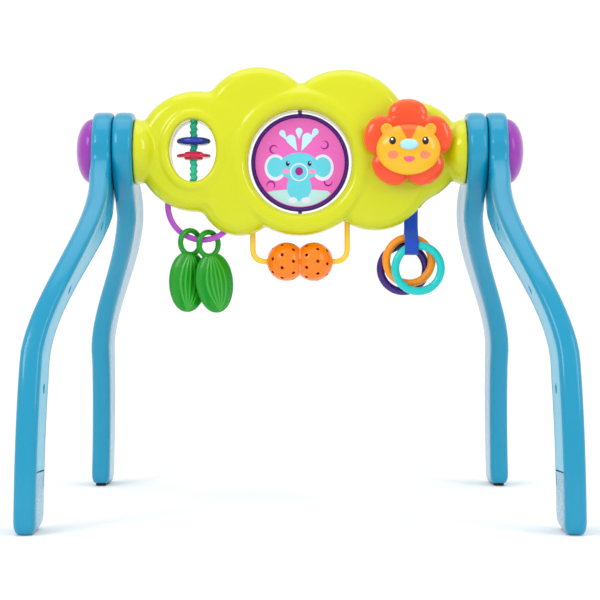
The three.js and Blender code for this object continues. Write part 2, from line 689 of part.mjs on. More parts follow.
// ---------- discs on the threaded rod ----------
function threadedRod() {
  const reach = OVAL_HALF_HEIGHT + ROD_SEAT;
  const profile = [[0, -reach], [ROD_ROOT_R, -reach]];
  const ridges = Math.floor((2 * reach) / ROD_PITCH);
  const start = -(ridges * ROD_PITCH) / 2;
  for (let i = 0; i < ridges; i += 1) {
    const base = start + i * ROD_PITCH;
    profile.push([ROD_ROOT_R, base], [ROD_R, base + 0.5 * ROD_PITCH]);
  }
  profile.push([ROD_ROOT_R, -start], [ROD_ROOT_R, reach], [0, reach]);
  return turned('z', profile, SMALL);
}
add('threaded_rod', threadedRod().translate([OVAL_X, 0, HUB_Z]), 0x14b9a0);

const discBore = ROD_R + CLEARANCE;
const blueDisc = turned('z', [
  [discBore, -DISC_HALF], [DISC_R - 5, 0.35 - DISC_HALF], [DISC_R, -1.2],
  [DISC_R, 1.2], [DISC_R - 5, DISC_HALF - 0.35], [discBore, DISC_HALF],
  [discBore, -DISC_HALF],
]);
add('blue_disc', blueDisc.translate([OVAL_X, 0, HUB_Z + BLUE_DISC_RISE]), 0x1432aa);
const redRim = 1.8;
const redDisc = turned('z', [
  [discBore, -DISC_HALF], [RED_DISC_BOSS_R - 1, -DISC_HALF], [RED_DISC_BOSS_R, -redRim],
  [DISC_R - 0.8, -redRim], [DISC_R, 0], [DISC_R - 0.8, redRim], [RED_DISC_BOSS_R, redRim],
  [RED_DISC_BOSS_R - 1, DISC_HALF], [discBore, DISC_HALF], [discBore, -DISC_HALF],
]);
add('red_disc', redDisc.translate([OVAL_X, 0, HUB_Z + RED_DISC_RISE]), 0xd71450);

// ---------- flower ----------
function flowerPieces() {
  const middleY = FLOWER_BACK_Y - FLOWER_HALF;
  const petals = [0, 72, 144, 216, 288].map((turn) => {
    const petal = ellipsoid(PETAL_HALF_WIDTH, FLOWER_HALF, PETAL_HALF_LENGTH, 12, 6);
    return petal.translate([0, 0, PETAL_REACH]).rotate([0, turn, 0]);
  });
  const core = rod('y', MANE_R, -FLOWER_HALF + 1, FLOWER_HALF - 1);
  const socket = rod('y', SPINDLE_R + CLEARANCE, 0, HUGE, 0, 12);
  const mane = join([core, ...petals]).subtract(socket).translate([0, middleY, 0]);
  const faceY = middleY - FLOWER_HALF - CLEARANCE;
  const dome = ellipsoid(FACE_HALF_WIDTH, FACE_DEPTH, FACE_HALF_HEIGHT, 16, 10);
  const ears = [-1, 1].map((sign) => rod('y', EAR_R, -4, 1, 0, 10)
    .translate([sign * 0.68 * FACE_HALF_WIDTH, 0, 0.78 * FACE_HALF_HEIGHT]));
  const front = block(-HUGE, HUGE, -HUGE, 0, -HUGE, HUGE);
  const face = join([dome, ...ears]).intersect(front).translate([0, faceY, -FACE_DROP]);
  const clear = ellipsoid(
    FACE_HALF_WIDTH + CLEARANCE, FACE_DEPTH + CLEARANCE, FACE_HALF_HEIGHT + CLEARANCE, 16, 10,
  ).translate([0, faceY, -FACE_DROP]);
  const noseZ = 0.16 * FACE_HALF_HEIGHT - FACE_DROP;
  const nose = ellipsoid(10, 5, 6, 10, 6).translate([0, faceY - FACE_DEPTH, noseZ]).subtract(clear);
  const socketEnd = middleY + CLEARANCE;
  const ratchetY = WALL - PANEL_HALF + 1;
  const shaft = rod('y', SPINDLE_R, socketEnd, ratchetY, 0, 12);
  const ratchet = rod('y', RATCHET_R, ratchetY, ratchetY + 3, 0, RATCHET_TEETH);
  return { mane, face, nose, spindle: shaft.add(ratchet) };
}
const flower = flowerPieces();
const atFlower = (body) => body.translate([FLOWER_X, 0, flowerZ]);
add('flower_petals', atFlower(flower.mane), 0xf55014);
add('flower_face', atFlower(flower.face), 0xffb414);
add('flower_nose', atFlower(flower.nose), 0xaae1f0);
add('flower_spindle', atFlower(flower.spindle), 0xf0f0f0);
const clickY = WALL - PANEL_HALF + 1;
const clickSpring = block(-14, 14, clickY, clickY + 3, -RATCHET_R - 1.5, -RATCHET_R - CLEARANCE);
add('click_spring', atFlower(clickSpring), STEEL, { rough: 0.35, metal: 0.8 });

// ---------- leaves on their loop ----------
add('leaf_loop', leafLoop, 0xb94bc8);

/** A leaf with its eyelet round the loop, turned on it so that the bar passes inside the ring. */
function leaf(angle, tilt) {
  const along = new THREE.Vector3(Math.cos(angle), 0, Math.sin(angle));
  const yaw = radians(LEAF_YAW);
  const normal = new THREE.Vector3(-Math.sin(yaw), Math.cos(yaw), 0);
  const hang = new THREE.Vector3().crossVectors(normal, along).normalize();
  const drop = EYELET_R - EYELET_TUBE_R - LEAF_LOOP_TUBE_R - EYELET_SLACK;
  const centre = onLeafLoop(angle).addScaledVector(hang, drop);
  const ring = torus('y', EYELET_R, EYELET_TUBE_R, 14, 6);
  const lamina = ellipsoid(LEAF_HALF_WIDTH, LEAF_HALF_THICK, LEAF_HALF_LENGTH, 12, 8);
  const below = EYELET_R + 0.6 * EYELET_TUBE_R + LEAF_HALF_LENGTH - 4;
  const body = ring.add(lamina.translate([0, 0, -below]));
  const turn = [0, -tilt, 0];
  return body.rotate(turn).rotate([0, 0, LEAF_YAW]).translate([centre.x, centre.y, centre.z]);
}
LEAVES.forEach(([name, angle, tilt]) => add(name, leaf(radians(angle), tilt), 0x0aa014));

// ---------- rattle on its loop ----------
add('rattle_loop', rattleLoop, 0xffcd32);
function rattleHalf() {
  const hole = RATTLE_LOOP_TUBE_R + RUNNING;
  const at = [RATTLE_SPACING / 2, 0, 0];
  const ball = ellipsoid(RATTLE_R, RATTLE_R, RATTLE_R, 16, 8).translate(at);
  const innerR = RATTLE_R - RATTLE_WALL;
  const inner = ellipsoid(innerR, innerR, innerR, 8, 6).translate(at);
  const sleeve = rod('x', hole + 1.6, 0, HUGE, 0, 6);
  const inside = inner.subtract(sleeve);
  const cut = block(halfGap, HUGE, -HUGE, HUGE, -HUGE, HUGE);
  return ball.subtract(inside).subtract(rod('x', hole, -HUGE, HUGE, 0, 8)).intersect(cut);
}
const half = rattleHalf();
const atRattle = (body) => body.translate([0, 0, rattleZ]);
add('rattle_right_half', atRattle(half), 0xff8c0a);
add('rattle_left_half', atRattle(mirrorX(half)), 0xff8c0a);
const beadDrop = RATTLE_R - RATTLE_WALL - BEAD_R - 2.5;
[-1, 0.75, 1.25].forEach((place, i) => {
  const bead = ellipsoid(BEAD_R, BEAD_R, BEAD_R, SMALL, 5);
  add(`rattle_bead_${i + 1}`, atRattle(bead.translate([place * RATTLE_SPACING / 2, 0, -beadDrop])), 0xffffff);
});

// ---------- strap and rings ----------
const ringSolids = RINGS.map(([name, x, drop, place]) => {
  const at = [x, place * RING_PITCH, HUB_Z - drop];
  const body = torus('y', RING_CENTRE_R, RING_TUBE_R).translate(at);
  const room = torus('y', RING_CENTRE_R, RING_TUBE_R + 2 * CLEARANCE).translate(at);
  return { name, body, room };
});
const ringColours = [0x14cdc8, 0xff9614, 0x320a78];
ringSolids.forEach(({ name, body }, i) => add(name, body, ringColours[i]));

function strap() {
  const eye = 1.6 * STRAP_HALF + STRAP_PIN_R;
  const low = -STRAP_LOOP_DROP + STRAP_PIN_DROP;
  const high = low + STRAP_LOOP_HEIGHT;
  const outline = new THREE.Shape();
  outline.moveTo(-STRAP_LOOP_HALF, low);
  outline.lineTo(STRAP_LOOP_HALF, low);
  outline.lineTo(STRAP_LOOP_HALF, high);
  outline.lineTo(STRAP_HALF, high + 8);
  outline.lineTo(STRAP_HALF, 0);
  outline.lineTo(-STRAP_HALF, 0);
  outline.lineTo(-STRAP_HALF, high + 8);
  outline.lineTo(-STRAP_LOOP_HALF, high);
  const web = new THREE.ExtrudeGeometry(outline, { depth: STRAP_WIDTH, bevelEnabled: false });
  web.rotateX(Math.PI / 2);
  web.rotateZ(Math.PI / 2);
  web.translate(-STRAP_WIDTH / 2, 0, 0);
  const eyelet = rod('x', eye, -STRAP_WIDTH / 2, STRAP_WIDTH / 2, 0, 12);
  const bore = rod('x', STRAP_PIN_R + CLEARANCE, -HUGE, HUGE, 0, SMALL);
  const placed = solid(web).add(eyelet).subtract(bore).translate([STRAP_X, 0, strapPinZ]);
  return placed.subtract(join(ringSolids.map(({ room }) => room)));
}
add('ring_strap', strap(), 0x0050c8, { rough: 0.8 });
const strapPinReach = STRAP_WIDTH / 2 + 5;
const strapPin = rod('x', STRAP_PIN_R, -strapPinReach, strapPinReach, 0, SMALL);
add('strap_pin', strapPin.translate([STRAP_X, 0, strapPinZ]), STEEL, { rough: 0.35, metal: 0.8 });

export default group;
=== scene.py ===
# %% [markdown]
# # An activity play gym, finished in Blender
# The gym is a cloud-shaped panel held up by four arched legs that fold at two round hubs. Toys
# hang from it and turn in it. The imported model gives every piece its place and its motion, so
# this lesson only makes the pieces look like the moulded plastic, webbing and steel they are.
# We load that model first, and keep the boxes of its parts to take our sizes from.

# %% Load the imported model
import math
import bmesh
import bpy
import numpy as np
import openvdb
from mathutils import Matrix, Vector


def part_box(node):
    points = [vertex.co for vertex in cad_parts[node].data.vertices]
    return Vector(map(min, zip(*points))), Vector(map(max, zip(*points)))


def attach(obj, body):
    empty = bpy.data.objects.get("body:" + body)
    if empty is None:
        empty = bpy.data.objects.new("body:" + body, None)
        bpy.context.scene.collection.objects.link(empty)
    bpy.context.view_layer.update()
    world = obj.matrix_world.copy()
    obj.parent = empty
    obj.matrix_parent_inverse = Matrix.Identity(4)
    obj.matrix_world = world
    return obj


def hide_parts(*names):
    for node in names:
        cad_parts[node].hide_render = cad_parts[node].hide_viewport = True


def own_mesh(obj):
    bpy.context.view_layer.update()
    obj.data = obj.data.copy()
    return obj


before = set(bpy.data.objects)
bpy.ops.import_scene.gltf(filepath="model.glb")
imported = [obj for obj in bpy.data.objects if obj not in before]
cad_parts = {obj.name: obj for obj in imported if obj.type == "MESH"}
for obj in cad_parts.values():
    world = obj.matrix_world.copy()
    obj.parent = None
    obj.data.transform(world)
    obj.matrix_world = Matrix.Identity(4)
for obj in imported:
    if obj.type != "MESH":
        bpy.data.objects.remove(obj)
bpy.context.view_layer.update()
MM = 0.001

# %% [markdown]
# Each piece takes its place from its CAD node. This helper reads a node's middle and half size
# in millimetres, which are the units that a toy designer thinks in.

# %% Read places from the frame
def middle_and_half(node):
    low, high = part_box(node)
    middle = (low + high) / 2 / MM
    half = (high - low) / 2 / MM
    return middle, half


HUB_Z = middle_and_half("right_pivot_axle")[0].z
HUB_END = middle_and_half("front_shell")[1].x
WINDOW_Z = middle_and_half("spinner_print_front")[0].z
ROD_X = middle_and_half("threaded_rod")[0].x
print("fold axis at", round(HUB_Z, 1), "mm, panel half width", round(HUB_END, 1), "mm")

# %% [markdown]
# ## Camera, floor and light
# The gym is seen level and straight from the front, from a little under two metres, with a
# medium long lens. The floor is one pale sheet that curves up behind like a studio sweep, so no
# horizon line shows. Colours are shown with the Standard view, which keeps bright toy plastic
# as bright as it is.

# %% Put things in the scene
def shown(name, data):
    """A new object with this data, linked to the scene."""
    made = bpy.data.objects.new(name, data)
    bpy.context.scene.collection.objects.link(made)
    return made


# %% Camera and studio sweep
bpy.context.scene.view_settings.view_transform = "Standard"
camera_data = bpy.data.cameras.new("camera")
camera_data.lens = 102
camera_data.sensor_width = 36
camera = shown("camera", camera_data)
camera.location = (0, -1.87, 0.225)
camera.rotation_euler = (math.radians(90), 0, 0)
bpy.context.scene.camera = camera


def floor_sweep():
    """A floor that runs back, curves up and becomes a wall."""
    line = [(-3.0, 0.0), (1.6, 0.0)]
    for step in range(1, 13):
        angle = math.radians(90 * step / 12)
        line.append((1.6 + 1.2 * math.sin(angle), 1.2 - 1.2 * math.cos(angle)))
    line.append((2.8, 4.0))
    vertices = [(x, y, z - 0.0006) for y, z in line for x in (-4, 4)]
    faces = [(2 * i, 2 * i + 1, 2 * i + 3, 2 * i + 2) for i in range(len(line) - 1)]
    mesh = bpy.data.meshes.new("floor_sweep")
    mesh.from_pydata(vertices, [], faces)
    mesh.polygons.foreach_set("use_smooth", [True] * len(faces))
    return shown("floor_sweep", mesh)


floor = floor_sweep()


# %% Soft studio lights
def softbox(name, place, target, size, power, tint=(1, 1, 1)):
    data = bpy.data.lights.new(name, "AREA")
    data.shape = "RECTANGLE"
    data.size, data.size_y = size
    data.energy = power
    data.color = tint
    light = shown(name, data)
    light.location = place
    aim = Vector(target) - Vector(place)
    light.rotation_euler = aim.to_track_quat("-Z", "Y").to_euler()
    return light


softbox("key_left", (-1.5, -1.6, 1.6), (0, 0, 0.25), (0.9, 0.9), 14)
softbox("fill_right", (1.7, -1.3, 1.2), (0, 0, 0.25), (0.5, 1.2), 8)
softbox("top_soft", (0, -0.1, 1.9), (0, 0, 0.2), (1.6, 1.2), 7)
world = bpy.data.worlds.new("studio")
world.use_nodes = True
world.node_tree.nodes["Background"].inputs["Color"].default_value = (1, 1, 1, 1)
world.node_tree.nodes["Background"].inputs["Strength"].default_value = 0.92
bpy.context.scene.world = world
print("three softboxes and a pale room")

# %% [markdown]
# ## Finishes
# Almost everything is injection-moulded plastic: one colour right through, glossy, with very
# faint flow marks and an orange-peel skin that breaks up the reflections. All such pieces share
# one shader group. It gives only what varies over the surface; each material keeps its own
# Principled BSDF and sets the steady numbers on it.

# %% Colour helper and group helper
def colour(red, green, blue):
    """An everyday 0 to 255 colour as the linear one that shaders use."""
    linear = []
    for value in (red, green, blue):
        share = value / 255
        linear.append(share / 12.92 if share <= 0.04045 else ((share + 0.055) / 1.055) ** 2.4)
    return (*linear, 1.0)


def new_group(name, inputs, outputs):
    group = bpy.data.node_groups.new(name, "ShaderNodeTree")
    for label, kind, value in inputs:
        socket = group.interface.new_socket(label, in_out="INPUT", socket_type=kind)
        if value is not None:
            socket.default_value = value
    for label, kind in outputs:
        group.interface.new_socket(label, in_out="OUTPUT", socket_type=kind)
    return group, group.nodes.new("NodeGroupInput"), group.nodes.new("NodeGroupOutput")


def noise(tree, vector, size, detail=2.0):
    """A noise node whose features are about size metres wide."""
    node = tree.nodes.new("ShaderNodeTexNoise")
    node.inputs["Scale"].default_value = 1 / size
    node.inputs["Detail"].default_value = detail
    tree.links.new(vector, node.inputs["Vector"])
    return node.outputs["Fac"]


def maths(tree, operation, first, second=None, third=None):
    node = tree.nodes.new("ShaderNodeMath")
    node.operation = operation
    for socket, value in zip(node.inputs, (first, second, third)):
        if value is None:
            continue
        if isinstance(value, (int, float)):
            socket.default_value = value
        else:
            tree.links.new(value, socket)
    return node.outputs[0]


def mix_colour(tree, share, first, second):
    node = tree.nodes.new("ShaderNodeMix")
    node.data_type = "RGBA"
    for socket, value in ((node.inputs[0], share), (node.inputs[6], first), (node.inputs[7], second)):
        if isinstance(value, (int, float, tuple)):
            socket.default_value = value
        else:
            tree.links.new(value, socket)
    return node.outputs[2]


# %% The shared moulded-plastic group
def build_moulded_plastic():
    group, given, put_out = new_group(
        "moulded_plastic",
        [
            ("Place", "NodeSocketVector", None),
            ("Colour", "NodeSocketColor", (0.5, 0.5, 0.5, 1)),
            ("Deep colour", "NodeSocketColor", (0.3, 0.3, 0.3, 1)),
            ("Flow marks", "NodeSocketFloat", 0.35),
            ("Base roughness", "NodeSocketFloat", 0.2),
            ("Peel height", "NodeSocketFloat", 0.25),
        ],
        [
            ("Colour", "NodeSocketColor"),
            ("Roughness", "NodeSocketFloat"),
            ("Normal", "NodeSocketVector"),
        ],
    )
    place = given.outputs["Place"]
    flow = maths(group, "MULTIPLY", noise(group, place, 0.06, 3.0), given.outputs["Flow marks"])
    shade = mix_colour(group, flow, given.outputs["Colour"], given.outputs["Deep colour"])
    smear = maths(group, "MULTIPLY_ADD", noise(group, place, 0.008), 0.1, -0.05)
    rough = maths(group, "ADD", given.outputs["Base roughness"], smear)
    bump = group.nodes.new("ShaderNodeBump")
    bump.inputs["Distance"].default_value = 0.0004
    group.links.new(given.outputs["Peel height"], bump.inputs["Strength"])
    group.links.new(noise(group, place, 0.004, 1.0), bump.inputs["Height"])
    group.links.new(shade, put_out.inputs["Colour"])
    group.links.new(rough, put_out.inputs["Roughness"])
    group.links.new(bump.outputs["Normal"], put_out.inputs["Normal"])
    return group


MOULDED = build_moulded_plastic()


# %% A maker of plastic materials
def plastic(name, main, deep, roughness=0.22, coat=0.35, peel=0.2, flow=0.35, soft=0.0):
    material = bpy.data.materials.new(name)
    material.use_nodes = True
    tree = material.node_tree
    shader = tree.nodes["Principled BSDF"]
    where = tree.nodes.new("ShaderNodeTexCoord")
    skin = tree.nodes.new("ShaderNodeGroup")
    skin.node_tree = MOULDED
    tree.links.new(where.outputs["Object"], skin.inputs["Place"])
    skin.inputs["Colour"].default_value = colour(*main)
    skin.inputs["Deep colour"].default_value = colour(*deep)
    skin.inputs["Flow marks"].default_value = flow
    skin.inputs["Base roughness"].default_value = roughness
    skin.inputs["Peel height"].default_value = peel
    tree.links.new(skin.outputs["Colour"], shader.inputs["Base Color"])
    tree.links.new(skin.outputs["Roughness"], shader.inputs["Roughness"])
    tree.links.new(skin.outputs["Normal"], shader.inputs["Normal"])
    shader.inputs["Specular IOR Level"].default_value = 0.32
    shader.inputs["Coat Weight"].default_value = coat * 0.6
    shader.inputs["Coat Roughness"].default_value = 0.08
    shader.inputs["Subsurface Weight"].default_value = soft
    shader.inputs["Subsurface Radius"].default_value = (1.0, 0.5, 0.3)
    shader.inputs["Subsurface Scale"].default_value = 0.006
    return material


lime = plastic("lime_gloss", (208, 212, 0), (192, 198, 0), roughness=0.2, coat=0.6, soft=0.04)
leg_blue = plastic("leg_blue", (0, 146, 184), (0, 124, 160), roughness=0.24, coat=0.5, peel=0.08)
# Painted light: the cover plate's blue is lighter than the leg's, standing for the light that falls on
# the legs' inner faces.
cover_painted_light_blue = plastic("cover_painted_light_blue", (14, 172, 206), (0, 150, 186), roughness=0.3, peel=0.02)
cap_purple = plastic("cap_purple", (152, 52, 172), (128, 36, 150), roughness=0.24)
rim_purple = plastic("rim_purple", (78, 24, 152), (54, 10, 118), roughness=0.18, coat=0.6)
rod_teal = plastic("rod_teal", (44, 216, 186), (24, 190, 164), roughness=0.25)
disc_blue = plastic("disc_blue", (22, 54, 178), (14, 36, 146), roughness=0.15, coat=0.6)
disc_crimson = plastic("disc_crimson", (216, 22, 84), (184, 10, 62), roughness=0.18, coat=0.5)
white_nylon = plastic("white_nylon", (236, 236, 232), (214, 214, 208), roughness=0.45, coat=0.0)
loop_purple = plastic("loop_purple", (186, 78, 202), (160, 56, 178), roughness=0.24)
loop_yellow = plastic("loop_yellow", (255, 206, 52), (244, 184, 30), roughness=0.22)
rattle_orange = plastic("rattle_orange", (255, 132, 4), (244, 100, 0), roughness=0.2, soft=0.06)
ring_turquoise = plastic("ring_turquoise", (20, 206, 200), (6, 180, 180), roughness=0.16)
ring_orange = plastic("ring_orange", (255, 152, 24), (246, 128, 6), roughness=0.16)
ring_purple = plastic("ring_purple", (54, 12, 124), (34, 4, 92), roughness=0.16, coat=0.6)
nose_blue = plastic("nose_blue", (172, 226, 242), (150, 210, 232), roughness=0.15, coat=0.6)
foot_grey = plastic("foot_rubber", (44, 48, 52), (30, 34, 38), roughness=0.8, coat=0.0, peel=0.9)
ink_black = plastic("ink_black", (16, 14, 16), (6, 6, 8), roughness=0.12, coat=0.6)
glint_white = plastic("glint_white", (250, 250, 250), (240, 240, 240), roughness=0.2)
mouth_pink = plastic("mouth_pink", (240, 92, 132), (224, 70, 112), roughness=0.25)
print("plastic finishes made")


# %% [markdown]
# Steel shows only where screws, axles and springs do. It is a plain metal with fine turning
# marks, so its roughness varies in thin streaks.

# %% Steel and floor finishes
def build_steel():
    material = bpy.data.materials.new("turned_steel")
    material.use_nodes = True
    tree = material.node_tree
    shader = tree.nodes["Principled BSDF"]
    shader.inputs["Metallic"].default_value = 1.0
    where = tree.nodes.new("ShaderNodeTexCoord").outputs["Object"]
    marks = noise(tree, where, 0.0015, 4.0)
    rough = maths(tree, "MULTIPLY_ADD", marks, 0.3, 0.22)
    tree.links.new(rough, shader.inputs["Roughness"])
    tint = mix_colour(tree, noise(tree, where, 0.01), colour(196, 198, 202), colour(164, 168, 174))
    tree.links.new(tint, shader.inputs["Base Color"])
    bump = tree.nodes.new("ShaderNodeBump")
    bump.inputs["Distance"].default_value = 0.0001
    bump.inputs["Strength"].default_value = 0.4
    tree.links.new(marks, bump.inputs["Height"])
    tree.links.new(bump.outputs["Normal"], shader.inputs["Normal"])
    return material


steel = build_steel()
floor_white = plastic("floor_white", (254, 254, 254), (251, 251, 252), roughness=0.7, coat=0.0)
floor.data.materials.append(floor_white)

# %% [markdown]
# ## From numbers to pieces
# Faces are smooth, apart from edges sharper than a set angle.

# %% Making a piece
def tidy_mesh(mesh, keep_normals=False, sharp=38):
    if not keep_normals:
        work = bmesh.new()
        work.from_mesh(mesh)
        bmesh.ops.remove_doubles(work, verts=work.verts, dist=1e-7)
        bmesh.ops.recalc_face_normals(work, faces=work.faces)
        work.to_mesh(mesh)
        work.free()
    mesh.shade_smooth()
    mesh.set_sharp_from_angle(angle=math.radians(sharp))
    mesh.update()


def raw_mesh(name, points, faces):
    mesh = bpy.data.meshes.new(name)
    mesh.from_pydata([tuple(np.asarray(p, float) * MM) for p in points], [], faces)
    mesh.validate()
    return mesh


def place_piece(name, mesh, body, finish, nodes=(), sharp=38):
    tidy_mesh(mesh, sharp=sharp)
    if finish is not None:
        mesh.materials.clear()
        mesh.materials.append(finish)
    made = shown(name, mesh)
    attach(made, body)
    if nodes:
        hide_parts(*nodes)
    return made


def piece(name, points, faces, body, slot, finish, nodes=(), sharp=38):
    return place_piece(name, raw_mesh(name, points, faces), body, finish, nodes, sharp)


# %% Round bodies turned from a profile
def turned(axis, profile, steps=64, centre=(0, 0, 0)):
    """Points and faces of a body turned about an axis from (radius, height) pairs."""
    points = []
    rows = []
    for radius, height in profile:
        if radius < 1e-6:
            rows.append([len(points)] * steps)
            points.append((0.0, 0.0, height))
            continue
        row = []
        for step in range(steps):
            angle = 2 * math.pi * step / steps
            row.append(len(points))
            points.append((radius * math.cos(angle), radius * math.sin(angle), height))
        rows.append(row)
    faces = []
    closed = list(range(len(rows)))
    pairs = list(zip(closed[:-1], closed[1:]))
    if profile[0][0] > 1e-6:
        pairs.append((closed[-1], closed[0]))
    for low, high in pairs:
        for step in range(steps):
            after = (step + 1) % steps
            corners = [rows[low][step], rows[low][after], rows[high][after], rows[high][step]]
            corners = list(dict.fromkeys(corners))
            if len(corners) > 2:
                faces.append(corners)
    order = {"x": (2, 0, 1), "y": (0, 2, 1), "z": (0, 1, 2)}[axis]
    placed = [tuple(p[k] + centre[n] for n, k in enumerate(order)) for p in points]
    return placed, faces


def joined(*parts):
    """Several (points, faces) made into one."""
    points, faces = [], []
    for part_points, part_faces in parts:
        start = len(points)
        points.extend(part_points)
        faces.extend([[start + i for i in face] for face in part_faces])
    return points, faces


def lofted(rings):
    """A closed body through rings of points, each ring with the same number."""
    count = len(rings[0])
    points = [p for ring in rings for p in ring]
    faces = [list(range(count))[::-1], [len(points) - count + i for i in range(count)]]
    for row in range(len(rings) - 1):
        for i in range(count):
            j = (i + 1) % count
            start = row * count
            faces.append([start + i, start + j, start + count + j, start + count + i])
    return points, faces


# %% [markdown]
# ## The cloud panel
# On the real gym this is two glossy shells that meet half way. The cloud is a set of pillowy
# lobes that melt into each other, so its surface has soft valleys rather than edges. Lofts or
# booleans would leave hard creases there. A distance field does it directly: each lobe says how
# far away its skin is, soft unions blend the lobes, and OpenVDB draws the skin where the
# distance is zero. Holes and the hollow inside are subtracted in the same way.

# %% Distance fields
def soft_union(first, second, blend):
    share = np.clip(0.5 + 0.5 * (second - first) / blend, 0, 1)
    return second * (1 - share) + first * share - blend * share * (1 - share)


def rounded_section(across, half_across, through, half_through, edge):
    """Distance to a rounded rectangle, given distances from its middle lines."""
    a = np.abs(across) - (half_across - edge)
    b = np.abs(through) - (half_through - edge)
    outside = np.hypot(np.maximum(a, 0), np.maximum(b, 0))
    return outside + np.minimum(np.maximum(a, b), 0) - edge


def pillow(x, y, z, place, radius, half, crown, edge):
    """A round cushion about Y, thicker in its middle than near its edge."""
    away = np.hypot(x - place[0], z - place[1])
    here = half - crown * np.clip(away / radius, 0, 1) ** 2
    return rounded_section(away, radius, y, here, edge)


def oval_distance(x, z, place, half_x, half_z):
    u = (x - place[0]) / half_x
    w = (z - place[1]) / half_z
    share = np.maximum(np.hypot(u, w), 1e-6)
    slope = np.hypot(u / half_x, w / half_z) / share
    return (share - 1) / slope


def grid_points(low, high, step):
    axes = [np.arange(a, b + step, step) for a, b in zip(low, high)]
    return np.meshgrid(*axes, indexing="ij", sparse=True)


def skin_of(name, field, low, step):
    """The surface where a distance field is zero, as a mesh."""
    grid = openvdb.FloatGrid(float(field.max()))
    grid.copyFromArray(field.astype(np.float32))
    points, quads = grid.convertToQuads(0.0)
    points = (points * step + np.asarray(low)) * MM
    mesh = bpy.data.meshes.new(name)
    mesh.vertices.add(len(points))
    mesh.vertices.foreach_set("co", points.astype(np.float32).ravel())
    mesh.loops.add(len(quads) * 4)
    mesh.loops.foreach_set("vertex_index", quads.astype(np.int32).ravel())
    mesh.polygons.add(len(quads))
    mesh.polygons.foreach_set("loop_start", np.arange(0, len(quads) * 4, 4))
    mesh.update(calc_edges=True)
    mesh.validate()
    return mesh


# %% The panel's own sizes
LOBES = [
    ((-113.4, 0.0), 66.0),
    ((-45.7, 29.7), 62.7),
    ((47.6, 17.0), 72.6),
    ((122.1, 0.0), 55.0),
    ((-66.0, -48.4), 44.0),
    ((82.5, -24.2), 62.2),
]
LOBE_HALF = 23.0
LOBE_CROWN = 4.5
WINDOW_R = 56.7
WINDOW_RING_R = 80.0
WINDOW_RING_HALF = 25.0
OVAL_HALF = (25.3, 33.8)
HUB_R = 36.0
HUB_DOME = 28.0
SHELL_WALL = 3.0
GRID_STEP = 1.25
STRAP_X = 122.0


def outer_skin(x, y, z):
    """The closed cloud with its hubs and raised window rings."""
    cloud = None
    for (lobe_x, rise), radius in LOBES:
        place = (lobe_x, HUB_Z + rise)
        lobe = pillow(x, y, z, place, radius, LOBE_HALF, LOBE_CROWN, 13.0)
        cloud = lobe if cloud is None else soft_union(cloud, lobe, 7.0)
    for side in (-1, 1):
        u = (x - side * HUB_END) / HUB_DOME
        w = np.hypot(y, z - HUB_Z) / HUB_R
        share = np.maximum(np.hypot(u, w), 1e-6)
        dome = (share - 1) * share / np.hypot(u / HUB_DOME, w / HUB_R)
        cloud = soft_union(cloud, dome, 4.0)
    cloud = np.maximum(cloud, np.abs(x) - HUB_END)
    from_window = np.hypot(x, z - WINDOW_Z)
    ring_middle = (WINDOW_R + WINDOW_RING_R) / 2
    ring_half = (WINDOW_RING_R - WINDOW_R) / 2
    cloud = np.maximum(cloud, ring_middle - from_window)
    ring = rounded_section(from_window - ring_middle, ring_half, y, WINDOW_RING_HALF, 11.0)
    cloud = soft_union(cloud, ring, 2.5)
    from_oval = oval_distance(x, z, (ROD_X, HUB_Z), *OVAL_HALF)
    cloud = np.maximum(cloud, 5.0 - from_oval)
    lip = rounded_section(from_oval - 5.5, 5.5, y, LOBE_HALF + 1.2, 5.3)
    return soft_union(cloud, lip, 3.0)


# %% Holes for the pins, screws, strap and loops
def panel_holes(x, y, z):
    """Every hole in the panel, as one distance field."""
    holes = []
    pin_r = 2.6
    spinner_pin = np.maximum(np.hypot(x, y) - pin_r, np.abs(z - WINDOW_Z) - 60.3)
    holes.append(spinner_pin)
    rod_seat = np.maximum(np.hypot(x - ROD_X, y) - 4.9, np.abs(z - HUB_Z) - 39.2)
    holes.append(rod_seat)
    axle = np.maximum(np.hypot(y, z - HUB_Z) - 13.0, 151.5 - np.abs(x))
    holes.append(axle)
    flower_middle = middle_and_half("flower_petals")[0]
    spindle = np.maximum(np.hypot(x - flower_middle.x, z - flower_middle.z) - 5.7, y)
    holes.append(spindle)
    pocket = np.maximum(np.abs(x - STRAP_X) - 9.0, np.abs(y) - 10.0)
    holes.append(np.maximum(pocket, z - HUB_Z + 52.0))
    for number in range(1, 7):
        screw_middle, _ = middle_and_half(f"shell_screw_{number}")
        away = np.hypot(x - screw_middle.x, z - screw_middle.z)
        holes.append(np.maximum(away - 4.4, 11.7 - y))
    hole = holes[0]
    for other in holes[1:]:
        hole = np.minimum(hole, other)
    return hole


# %% Grow the two shells
low_corner = (-HUB_END - 5, -39.0, HUB_Z - 98.0)
high_corner = (HUB_END + 5, 39.0, HUB_Z + 98.0)
gx, gy, gz = grid_points(low_corner, high_corner, GRID_STEP)
skin = outer_skin(gx, gy, gz)
hollow = np.maximum(skin, -(skin + SHELL_WALL))
SHELL_GAP = 0.15  # millimetres that each shell keeps from the seam
panel_field = np.maximum(hollow, -panel_holes(gx, gy, gz))
for side_name, side in (("front", 1), ("rear", -1)):
    half_field = np.maximum(panel_field, side * gy + SHELL_GAP)
    shell_mesh = skin_of(f"{side_name}_cloud_shell", half_field, low_corner, GRID_STEP)
    shell = place_piece(
        f"{side_name}_cloud_shell",
        shell_mesh,
        "header",
        lime,
        [f"{side_name}_shell"],
        sharp=50,
    )
    print(shell.name, len(shell.data.polygons), "faces")


# %% [markdown]
# ## The legs
# Each leg is a flat blue arch with rounded edges. It starts as a disc at the hub, sweeps
# outwards and runs down to the floor. It is one loft: a rounded section carried along the
# centreline, leaning sideways as it goes down. All four legs come from one moulding, so one
# function makes them; the front pair is mirrored. A long cover plate is let into the inner side
# of each front leg and the outer side of each rear one, held by four screws in shallow wells.

